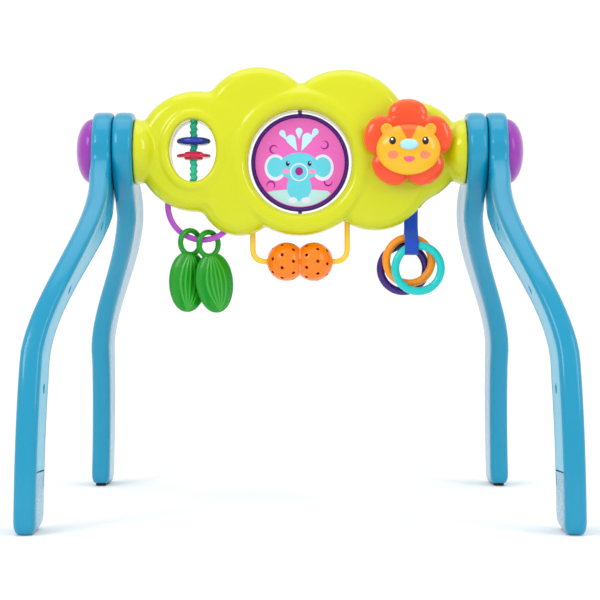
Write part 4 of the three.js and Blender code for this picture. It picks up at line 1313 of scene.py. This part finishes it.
def face_field(x, y, z):
    dome = egg(x, y, z, FACE_HALF[0], FACE_DEPTH, FACE_HALF[1])
    for ear_side in (-1, 1):
        ear_x, ear_z = ear_side * 0.68 * FACE_HALF[0], 0.78 * FACE_HALF[1]
        away = np.hypot(x - ear_x, z - ear_z)
        ear = rounded_section(away, 6.6, y, 5.2, 3.2)
        dish = egg(x - ear_x, y + 6.2, z - ear_z, 4.0, 2.6, 4.0)
        ear = np.maximum(ear, -dish)
        dome = soft_union(dome, ear, 1.2)
    return np.maximum(dome, y)


face_step = 0.7
face_corner = (-37.0, -15.0, -30.0)
fx, fy, fz = grid_points(face_corner, (37.0, 2.0, 31.0), face_step)
face_mesh = skin_of("flower_face_dome", face_field(fx, fy, fz), face_corner, face_step)
face_mesh.transform(Matrix.Translation((flower_x * MM, face_back * MM, face_z * MM)))
place_piece(
    "flower_face_dome", face_mesh, "flower", face_yellow, ["flower_face"], sharp=55
)


# %% Eyes, blush, mouth and nose
def on_face(name, outlines, lift, finish):
    """Patches that follow the dome, as one piece."""
    parts = [patch(outline, face_surface, lift, rings=3) for outline in outlines]
    points, faces = joined(*parts)
    placed = [(x + flower_x, face_back - y, z + face_z) for x, y, z in points]
    return piece(name, placed, faces, "flower", "face_yellow", finish)


blush_orange = plastic("blush_orange", (255, 132, 92), (255, 120, 80), roughness=0.2)
eye_u, eye_w = 17.6, 8.6
on_face("flower_blush", [oval_outline(s * 17.0, -6.5, 5.6, 4.4) for s in (-1, 1)], 0.1, blush_orange)
on_face("flower_eyes", [oval_outline(s * eye_u, eye_w, 3.5, 4.3) for s in (-1, 1)], 0.35, ink_black)
glints = [oval_outline(s * eye_u - 0.6, eye_w + 1.6, 1.25, 1.25, 16) for s in (-1, 1)]
on_face("flower_glints", glints, 0.5, glint_white)
mouth = oval_outline(0, -9.0, 6.0, 5.5, 16, 180, 360) + [(6.0, -9.0), (0, -8.0), (-6.0, -9.0)]
on_face("flower_mouth", [mouth], 0.2, mouth_pink)

nose_middle = middle_and_half("flower_nose")[0]
nose_profile = []
for step in range(17):
    angle = math.pi * (step / 16) - math.pi / 2
    nose_profile.append((max(math.cos(angle), 0.0) ** 0.85, math.sin(angle)))
nose_profile[0] = (0, -1)
nose_profile[-1] = (0, 1)
nose_points, nose_faces = turned("y", nose_profile, 48)
nose_place = (nose_middle.x, face_back - FACE_DEPTH, nose_middle.z)
nose_points = [
    (x * 10.0 + nose_place[0], y * 4.4 + nose_place[1], z * 6.0 + nose_place[2])
    for x, y, z in nose_points
]
piece("flower_nose_button", nose_points, nose_faces, "flower", "nose_blue", nose_blue, ["flower_nose"])
print("flower face with ears, eyes, nose and mouth")

# %% [markdown]
# ## Loops of bent bar
# Two plain round bars hang under the panel: a purple arc for the leaves and a yellow U for the
# rattle. A bar that follows a path is a rule, so a Geometry Nodes tree sweeps it: the seed is a
# line of points, and the inputs say how thick the bar is and how round.

# %% A tree that sweeps a bar along a line
def build_swept_bar():
    tree = bpy.data.node_groups.new("swept_bar", "GeometryNodeTree")
    face = tree.interface
    face.new_socket("Geometry", in_out="INPUT", socket_type="NodeSocketGeometry")
    face.new_socket("Bar radius", in_out="INPUT", socket_type="NodeSocketFloat")
    face.new_socket("Sides", in_out="INPUT", socket_type="NodeSocketInt").default_value = 24
    face.new_socket("Finish", in_out="INPUT", socket_type="NodeSocketMaterial")
    face.new_socket("Geometry", in_out="OUTPUT", socket_type="NodeSocketGeometry")
    nodes, links = tree.nodes, tree.links
    given = nodes.new("NodeGroupInput")
    put_out = nodes.new("NodeGroupOutput")
    line = nodes.new("GeometryNodeMeshToCurve")
    section = nodes.new("GeometryNodeCurvePrimitiveCircle")
    sweep = nodes.new("GeometryNodeCurveToMesh")
    sweep.inputs["Fill Caps"].default_value = True
    links.new(given.outputs["Geometry"], line.inputs["Mesh"])
    links.new(given.outputs["Bar radius"], section.inputs["Radius"])
    links.new(given.outputs["Sides"], section.inputs["Resolution"])
    links.new(line.outputs["Curve"], sweep.inputs["Curve"])
    links.new(section.outputs["Curve"], sweep.inputs["Profile Curve"])
    finish_tree(tree, sweep.outputs["Mesh"], given, put_out)
    return tree


SWEPT_BAR = build_swept_bar()


def upright_circle(middle, radius, count):
    """Points round a circle that faces the front."""
    points = []
    for step in range(count):
        turn = 2 * math.pi * step / count
        across, up = radius * math.cos(turn), radius * math.sin(turn)
        points.append((middle[0] + across, middle[1], middle[2] + up))
    return points


def swept(points, radius, finish, sides=24, closed=False):
    mesh = bpy.data.meshes.new("line")
    edges = [(i, i + 1) for i in range(len(points) - 1)]
    if closed:
        edges.append((len(points) - 1, 0))
    mesh.from_pydata([tuple(c * MM for c in p) for p in points], edges, [])
    values = {"Bar radius": radius * MM, "Sides": sides, "Finish": finish}
    return grown(SWEPT_BAR, mesh, values)


# %% The two loops
LEAF_LOOP_X = -107.3
LEAF_LOOP_Z = HUB_Z - 58.9
LEAF_LOOP_R = 38.0
LEAF_LOOP_BAR_R = 3.2


def on_leaf_loop(degrees):
    angle = math.radians(degrees)
    x = LEAF_LOOP_X + LEAF_LOOP_R * math.sin(angle)
    return x, 0.0, LEAF_LOOP_Z - LEAF_LOOP_R * math.cos(angle)


arc = [on_leaf_loop(-105 + 160 * step / 60) for step in range(61)]
arc_mesh = swept(arc, LEAF_LOOP_BAR_R, loop_purple)
place_piece("purple_leaf_loop", arc_mesh, "header", None, ["leaf_loop"])

RATTLE_LOOP_BAR_R = 3.0
loop_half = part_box("rattle_loop")[1].x / MM - RATTLE_LOOP_BAR_R
RATTLE_Z = middle_and_half("rattle_left_half")[0].z


def rattle_loop_line():
    bend, side = 15.0, loop_half
    line = [(-side, 0, HUB_Z - 84)]
    for side_x in (-1, 1):
        corner = []
        for step in range(13):
            t = step / 12
            across = side - bend * t * t
            up = bend * (1 - t) ** 2
            corner.append((side_x * across, 0, RATTLE_Z + up))
        line.extend(corner if side_x < 0 else corner[::-1])
    line.append((side, 0, HUB_Z - 74))
    return line


u_mesh = swept(rattle_loop_line(), RATTLE_LOOP_BAR_R, loop_yellow)
place_piece("yellow_rattle_loop", u_mesh, "header", None, ["rattle_loop"])
print("loops swept")

# %% [markdown]
# ## Leaves
# Each leaf is one soft green moulding: a ring that rides on the purple loop, and a plump blade
# with raised veins that run its length. We shape the blade as a grid of points, so that the
# veins can be added as a small extra thickness. The same vein value is kept as an attribute,
# and the material uses it to make the veins paler.

# %% Leaf finish with paler veins
def leaf_finish():
    material = plastic("leaf_green", (8, 156, 14), (2, 122, 6), 0.24, 0.5, 0.2, 0.5, 0.06)
    tree = material.node_tree
    shader = tree.nodes["Principled BSDF"]
    skin = next(n for n in tree.nodes if n.type == "GROUP")
    vein = tree.nodes.new("ShaderNodeAttribute")
    vein.attribute_name = "vein"
    share = maths(tree, "MULTIPLY", vein.outputs["Fac"], 0.55)
    paler = mix_colour(tree, share, skin.outputs["Colour"], colour(96, 206, 80))
    tree.links.new(paler, shader.inputs["Base Color"])
    return material


leaf_green = leaf_finish()


# %% Shape one blade
def vein_strength(u, v):
    """How close a point of the blade is to a vein: a midrib and two arched pairs."""
    best = math.exp(-((u / 0.035) ** 2))
    for spread in (0.24, 0.5):
        line = spread * math.sin(math.pi * min(1.0, max(0.0, v * 0.86 + 0.08))) ** 0.8
        for side in (-1, 1):
            best = max(best, math.exp(-(((u - side * line) / 0.04) ** 2)))
    edge = min(v / 0.12, (1 - v) / 0.1, 1.0)
    return best * max(edge, 0.0)


def blade():
    """Points, faces and vein values of a leaf blade, its stem end at the top."""
    rows, columns = 56, 60
    points, veins = [], []
    for row in range(rows + 1):
        v = (1 - math.cos(math.pi * row / rows)) / 2
        roundness = math.sqrt(max(1 - (2 * v - 1) ** 2, 0.0))
        half_width = max(26.0 * roundness ** 0.94 * (1.03 - 0.1 * v), 0.8)
        up = 33.0 - 66.5 * v
        for side in (1, -1):
            steps = range(columns + 1) if side > 0 else range(1, columns)
            for column in steps:
                u = (2 * column / columns - 1) * side
                rise = 4.1 * math.sqrt(max(1 - u * u, 0)) ** 0.7
                rise *= min(1.0, roundness ** 0.5 + 0.05)
                vein = vein_strength(u, v) if abs(u) < 0.93 else 0.0
                points.append((half_width * u, side * (rise + 0.4 * vein), up))
                veins.append(vein)
    count = 2 * columns
    faces = [list(range(count)), [len(points) - count + i for i in range(count)][::-1]]
    for row in range(rows):
        for i in range(count):
            j = (i + 1) % count
            low = row * count
            faces.append([low + i, low + count + i, low + count + j, low + j])
    return points, faces, veins


# %% Hang both leaves on the loop
EYELET_R = 13.2
EYELET_BAR_R = 3.0
LEAF_YAW = math.radians(40)
for name, degrees, tilt in (("left_leaf", -18, -4), ("right_leaf", 9, 11)):
    angle = math.radians(degrees)
    along = Vector((math.cos(angle), 0, math.sin(angle)))
    facing = Vector((-math.sin(LEAF_YAW), math.cos(LEAF_YAW), 0))
    hang = facing.cross(along).normalized()
    centre = Vector(on_leaf_loop(degrees)) + hang * (EYELET_R - EYELET_BAR_R - LEAF_LOOP_BAR_R - 1.8)
    blade_points, blade_faces, veins = blade()
    drop = EYELET_R + 1.8 + 32.0 - 4.0
    blade_points = [(x, y, z - drop) for x, y, z in blade_points]
    eyelet_line = upright_circle((0.0, 0.0, 0.0), EYELET_R, 48)
    eyelet = swept(eyelet_line, EYELET_BAR_R, leaf_green, 20, closed=True)
    leaf_mesh = raw_mesh(name, blade_points, blade_faces)
    mark = leaf_mesh.attributes.new("vein", "FLOAT", "POINT")
    mark.data.foreach_set("value", veins[: len(leaf_mesh.vertices)])
    work = bmesh.new()
    work.from_mesh(leaf_mesh)
    work.from_mesh(eyelet)
    work.to_mesh(leaf_mesh)
    work.free()
    lean = Matrix.Rotation(math.radians(-tilt), 4, "Y")
    yaw = Matrix.Rotation(LEAF_YAW, 4, "Z")
    leaf_mesh.transform(Matrix.Translation(centre * MM) @ yaw @ lean)
    body = "leaf_left" if name == "left_leaf" else "leaf_right"
    place_piece(f"{name}_teether", leaf_mesh, body, leaf_green, [name], sharp=60)
print("two leaves with veins")

# %% [markdown]
# ## The rattle
# Two balls joined like a peanut turn on the yellow bar. They are hollow shells with rows of
# small holes, and beads inside. Each half is turned from a profile with a real wall, then the
# holes are cut by pins that the Geometry Nodes tree sets round it.

# %% Turn, pierce and place each half
BALL_R = 21.3
BALL_X = 15.1


def peanut_profile():
    """(radius, distance along the bar) from the middle seam out to the ball's end and back."""
    outer, inner = [], []
    for step in range(29):
        angle = math.radians(-44 + 125 * step / 28)
        outer.append((BALL_R * math.cos(angle), BALL_X + BALL_R * math.sin(angle)))
    for step in range(17):
        angle = math.radians(70 - 110 * step / 16)
        inner.append((18.7 * math.cos(angle), BALL_X + 18.7 * math.sin(angle)))
    seam_x = 0.15
    outer = [(r, x) for r, x in outer if x > seam_x]
    inner = [(r, x) for r, x in inner if x > seam_x]
    seam_out, seam_in = outer[0][0], inner[-1][0]
    return [(seam_out, seam_x), *outer, (3.7, 35.9), (3.7, 33.0), *inner, (seam_in, seam_x)]


def hole_places():
    """Holes in rows round one ball, each facing straight out."""
    places, ways = [], []
    for tilt, count, start in ((-22, 9, 0), (12, 9, 20), (44, 6, 10)):
        for number in range(count):
            turn = math.radians(start + 360 * number / count)
            out = math.cos(math.radians(tilt))
            way = (math.sin(math.radians(tilt)), out * math.cos(turn), out * math.sin(turn))
            places.append(tuple(BALL_R * c for c in way))
            ways.append(way)
    return places, ways


pin = turned("z", [(0, -5), (1.9, -5), (1.9, 3), (0, 3)], 12)
pin_object = hidden_object("hole_pin", pin)
# Painted shade: the walls of the holes get a darker red than the orange shell, standing for the shade
# inside the holes.
hole_painted_shade = plastic("rattle_hole_painted_shade", (196, 58, 8), (170, 40, 0), roughness=0.4, coat=0.0)
for side_name, side in (("left", -1), ("right", 1)):
    half_mesh = raw_mesh(f"rattle_{side_name}", *turned("x", peanut_profile(), 72))
    tidy_mesh(half_mesh)
    places, ways = hole_places()
    places = [(x + BALL_X, y, z) for x, y, z in places]
    values = {"Piece": pin_object, "Size": 1.0, "Turn": 0.0, "Seed": 3, "Finish": hole_painted_shade}
    pins_mesh = grown(SET_ON_POINTS, facing_points(places, ways), values)
    tidy_mesh(pins_mesh)
    pins = shown("pins", pins_mesh)
    half_mesh.materials.append(rattle_orange)
    half_mesh.materials.append(hole_painted_shade)
    pierced = carved(half_mesh, [pins], f"rattle_{side_name}_pierced")
    turn_over = Matrix.Rotation(math.pi, 4, "Z") if side < 0 else Matrix.Identity(4)
    pierced.transform(Matrix.Translation((0, 0, RATTLE_Z * MM)) @ turn_over)
    node = f"rattle_{side_name}_half"
    place_piece(f"rattle_{side_name}_shell", pierced, "rattle", None, [node])
bpy.data.objects.remove(pin_object)
print("rattle pierced with", 2 * len(places), "holes")

# %% [markdown]
# ## Three rings
# Plain glossy rings, swept by the same tree as the loops.

# %% Sweep the rings
RING_R = 25.0
ring_finishes = {
    "turquoise_ring": ("ring_front", "ring_turquoise", ring_turquoise),
    "orange_ring": ("ring_middle", "ring_orange", ring_orange),
    "purple_ring": ("ring_back", "ring_purple", ring_purple),
}
for node, (body, slot_name, finish) in ring_finishes.items():
    middle, half = middle_and_half(node)
    line = upright_circle(middle, RING_R, 72)
    ring_mesh = swept(line, half.y, finish, 24, closed=True)
    place_piece(f"{node}_smooth", ring_mesh, body, None, [node])
print("three rings")

# %% [markdown]
# ## The strap
# A blue webbing strap goes over a pin inside the panel, is sewn together just under it, and
# opens into a loop that holds the rings. Webbing is a flat sheet, so it is modelled directly
# as a band that follows its path, with a woven finish that reads the band's own UV map.

# %% Webbing finish
def webbing_finish():
    material = bpy.data.materials.new("strap_webbing")
    material.use_nodes = True
    tree = material.node_tree
    shader = tree.nodes["Principled BSDF"]
    shader.inputs["Sheen Weight"].default_value = 0.25
    shader.inputs["Sheen Roughness"].default_value = 0.5
    uv = tree.nodes.new("ShaderNodeUVMap")
    uv.uv_map = "band"
    split = tree.nodes.new("ShaderNodeSeparateXYZ")
    tree.links.new(uv.outputs["UV"], split.inputs[0])
    across = maths(tree, "MULTIPLY", split.outputs["X"], 2 * math.pi * 14)
    along = maths(tree, "MULTIPLY", split.outputs["Y"], 2 * math.pi / 0.0016)
    rib = maths(tree, "MULTIPLY_ADD", maths(tree, "SINE", across), 0.5, 0.5)
    twill = maths(tree, "SINE", maths(tree, "ADD", along, across))
    weft = maths(tree, "MULTIPLY_ADD", twill, 0.5, 0.5)
    weave = maths(tree, "MULTIPLY", rib, weft)
    where = tree.nodes.new("ShaderNodeTexCoord").outputs["Object"]
    worn = maths(tree, "MULTIPLY", noise(tree, where, 0.003), 0.35)
    shade = maths(tree, "ADD", maths(tree, "MULTIPLY", weave, 0.7), worn)
    tint = mix_colour(tree, shade, colour(0, 52, 168), colour(10, 98, 226))
    tree.links.new(tint, shader.inputs["Base Color"])
    rough = maths(tree, "MULTIPLY_ADD", weave, -0.15, 0.85)
    tree.links.new(rough, shader.inputs["Roughness"])
    bump = tree.nodes.new("ShaderNodeBump")
    bump.inputs["Distance"].default_value = 0.0004
    bump.inputs["Strength"].default_value = 0.6
    tree.links.new(weave, bump.inputs["Height"])
    tree.links.new(bump.outputs["Normal"], shader.inputs["Normal"])
    return material


strap_webbing = webbing_finish()


# %% The strap's path, round the pin and through the rings
PIN_Z = middle_and_half("strap_pin")[0].z
STRAP_THICK = 1.4


def strap_path():
    """(y, z) points round the whole loop, starting at the seam behind."""
    half = [(0.0, 275.2), (7.0, 275.25), (11.5, 275.8), (13.8, 277.6), (14.6, 281.0), (14.3, 286.5)]
    half += [(12.6, 290.5), (9.4, 294.2), (6.0, 297.8), (2.9, 301.6), (1.1, 304.6), (0.95, 309.0)]
    half += [(1.0, 315.0), (1.7, 320.0), (2.9, 324.4)]
    over = []
    for step in range(9):
        angle = math.radians(-20 + 110 * step / 8)
        over.append((3.5 * math.cos(angle), PIN_Z + 3.5 * math.sin(angle)))
    half += over
    mirror = [(-y, z) for y, z in reversed(half[1:-1])]
    rough_line = half + mirror
    fine = []
    count = len(rough_line)
    for i in range(count):
        a, b, c, d = (Vector((*rough_line[(i + k) % count], 0)) for k in (-1, 0, 1, 2))
        for step in range(4):
            t = step / 4
            place = b * 2 + (c - a) * t + (a * 2 - b * 5 + c * 4 - d) * t**2
            place += (b * 3 - a - c * 3 + d) * t**3
            fine.append((place.x / 2, place.y / 2))
    return fine


def strap_band(width):
    path = strap_path()
    count = len(path)
    lengths = [0.0]
    for i in range(count):
        after = path[(i + 1) % count]
        lengths.append(lengths[-1] + math.hypot(after[0] - path[i][0], after[1] - path[i][1]))
    points, faces, uvs = [], [], []
    half_width, half_thick = width / 2, STRAP_THICK / 2
    section = [(-1, -0.5), (-0.96, -1), (-0.5, -1), (0, -1), (0.5, -1), (0.96, -1), (1, -0.5)]
    section += [(1, 0.5), (0.96, 1), (0.5, 1), (0, 1), (-0.5, 1), (-0.96, 1), (-1, 0.5)]
    for i, (y, z) in enumerate(path):
        before, after = path[i - 1], path[(i + 1) % count]
        run = Vector((after[0] - before[0], after[1] - before[1])).normalized()
        normal = (-run.y, run.x)
        for across, through in section:
            depth = through * half_thick
            points.append((STRAP_X + across * half_width, y + normal[0] * depth, z + normal[1] * depth))
    size = len(section)
    for i in range(count):
        for k in range(size):
            n = (k + 1) % size
            j = (i + 1) % count
            faces.append([i * size + k, j * size + k, j * size + n, i * size + n])
            wide = [section[k][0], section[k][0], section[n][0], section[n][0]]
            long = [lengths[i], lengths[i + 1], lengths[i + 1], lengths[i]]
            uvs.extend(((w + 1) / 2, v * MM) for w, v in zip(wide, long))
    return points, faces, uvs, lengths[-1]


band_points, band_faces, band_uvs, band_length = strap_band(15.0)
band_mesh = raw_mesh("webbing_strap", band_points, band_faces)
band_layer = band_mesh.uv_layers.new(name="band")
band_layer.data.foreach_set("uv", np.asarray(band_uvs, np.float32).ravel())
strap = place_piece(
    "webbing_strap", band_mesh, "strap", strap_webbing, ["ring_strap"], sharp=70
)
print("strap", round(band_length), "mm round its loop")

# %% [markdown]
# Stitches hold the two layers together. One thread stitch is a tiny rounded bar; the same tree
# that set the screws sets two rows of six on each face.

# %% Stitches
thread = plastic("strap_thread", (20, 96, 214), (8, 70, 190), roughness=0.6, coat=0.0, peel=0.8)
stitch_profile = [(0, -0.8), (0.22, -0.62), (0.26, 0.0), (0.22, 0.62), (0, 0.8)]
stitch_points, stitch_faces = turned("x", stitch_profile, 8)
stitch = hidden_object("stitch", (stitch_points, stitch_faces))
places, ways = [], []
for face_side in (-1, 1):
    for height in (306.0, 312.5):
        for number in range(6):
            places.append((STRAP_X - 5.5 + 2.2 * number, face_side * 1.75, height))
            ways.append((0, face_side, 0))
values = {"Piece": stitch, "Size": 1.0, "Turn": 0.0, "Seed": 5, "Finish": thread}
stitch_mesh = grown(SET_ON_POINTS, facing_points(places, ways), values)
stitches = place_piece("strap_stitches", stitch_mesh, "strap", None)
bpy.data.objects.remove(stitch)
print(len(places), "stitches")

# %% [markdown]
# ## Springs behind the caps
# A steel coil pushes each purple cap outwards. It is a helix swept with the same round bar as the
# loops.

# %% Wind the two springs
SPRING_TURNS = 7
SPRING_WIRE = 0.9
for side_name, side in (("left", -1), ("right", 1)):
    spring_middle, spring_half = middle_and_half(f"{side_name}_button_spring")
    spring_length = 2 * spring_half.x
    coil_radius = spring_half.y - SPRING_WIRE
    inner_end = spring_middle.x - side * spring_half.x
    coil_line = []
    for step in range(SPRING_TURNS * 24 + 1):
        share = step / (SPRING_TURNS * 24)
        turn = 2 * math.pi * SPRING_TURNS * share
        along = SPRING_WIRE + (spring_length - 2 * SPRING_WIRE) * share
        up = HUB_Z + coil_radius * math.sin(turn)
        coil_line.append((inner_end + side * along, coil_radius * math.cos(turn), up))
    coil_mesh = swept(coil_line, SPRING_WIRE, steel, 10)
    spring_node = f"{side_name}_button_spring"
    coil = place_piece(f"{side_name}_coil_spring", coil_mesh, "header", None, [spring_node])
    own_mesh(coil)
    print(side_name, "spring", round(spring_length, 1), "mm long")

# %% [markdown]
# ## Metal and nylon inside
# Axles, retaining rings, the click spring, the panel's screws, the strap's pin, the spindle and
# the beads keep their CAD shapes, which are right as they are. They only get their finish.

# %% Finish what stays from the CAD
metal = [
    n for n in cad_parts
    if "axle" in n or "retaining" in n or n == "click_spring" or "shell_screw" in n or n == "strap_pin"
]
refinish(metal, steel)
nylon = ["flower_spindle"] + [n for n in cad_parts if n.startswith("rattle_bead")]
refinish(nylon, white_nylon)
print(len(metal), "metal and", len(nylon), "nylon pieces refinished")
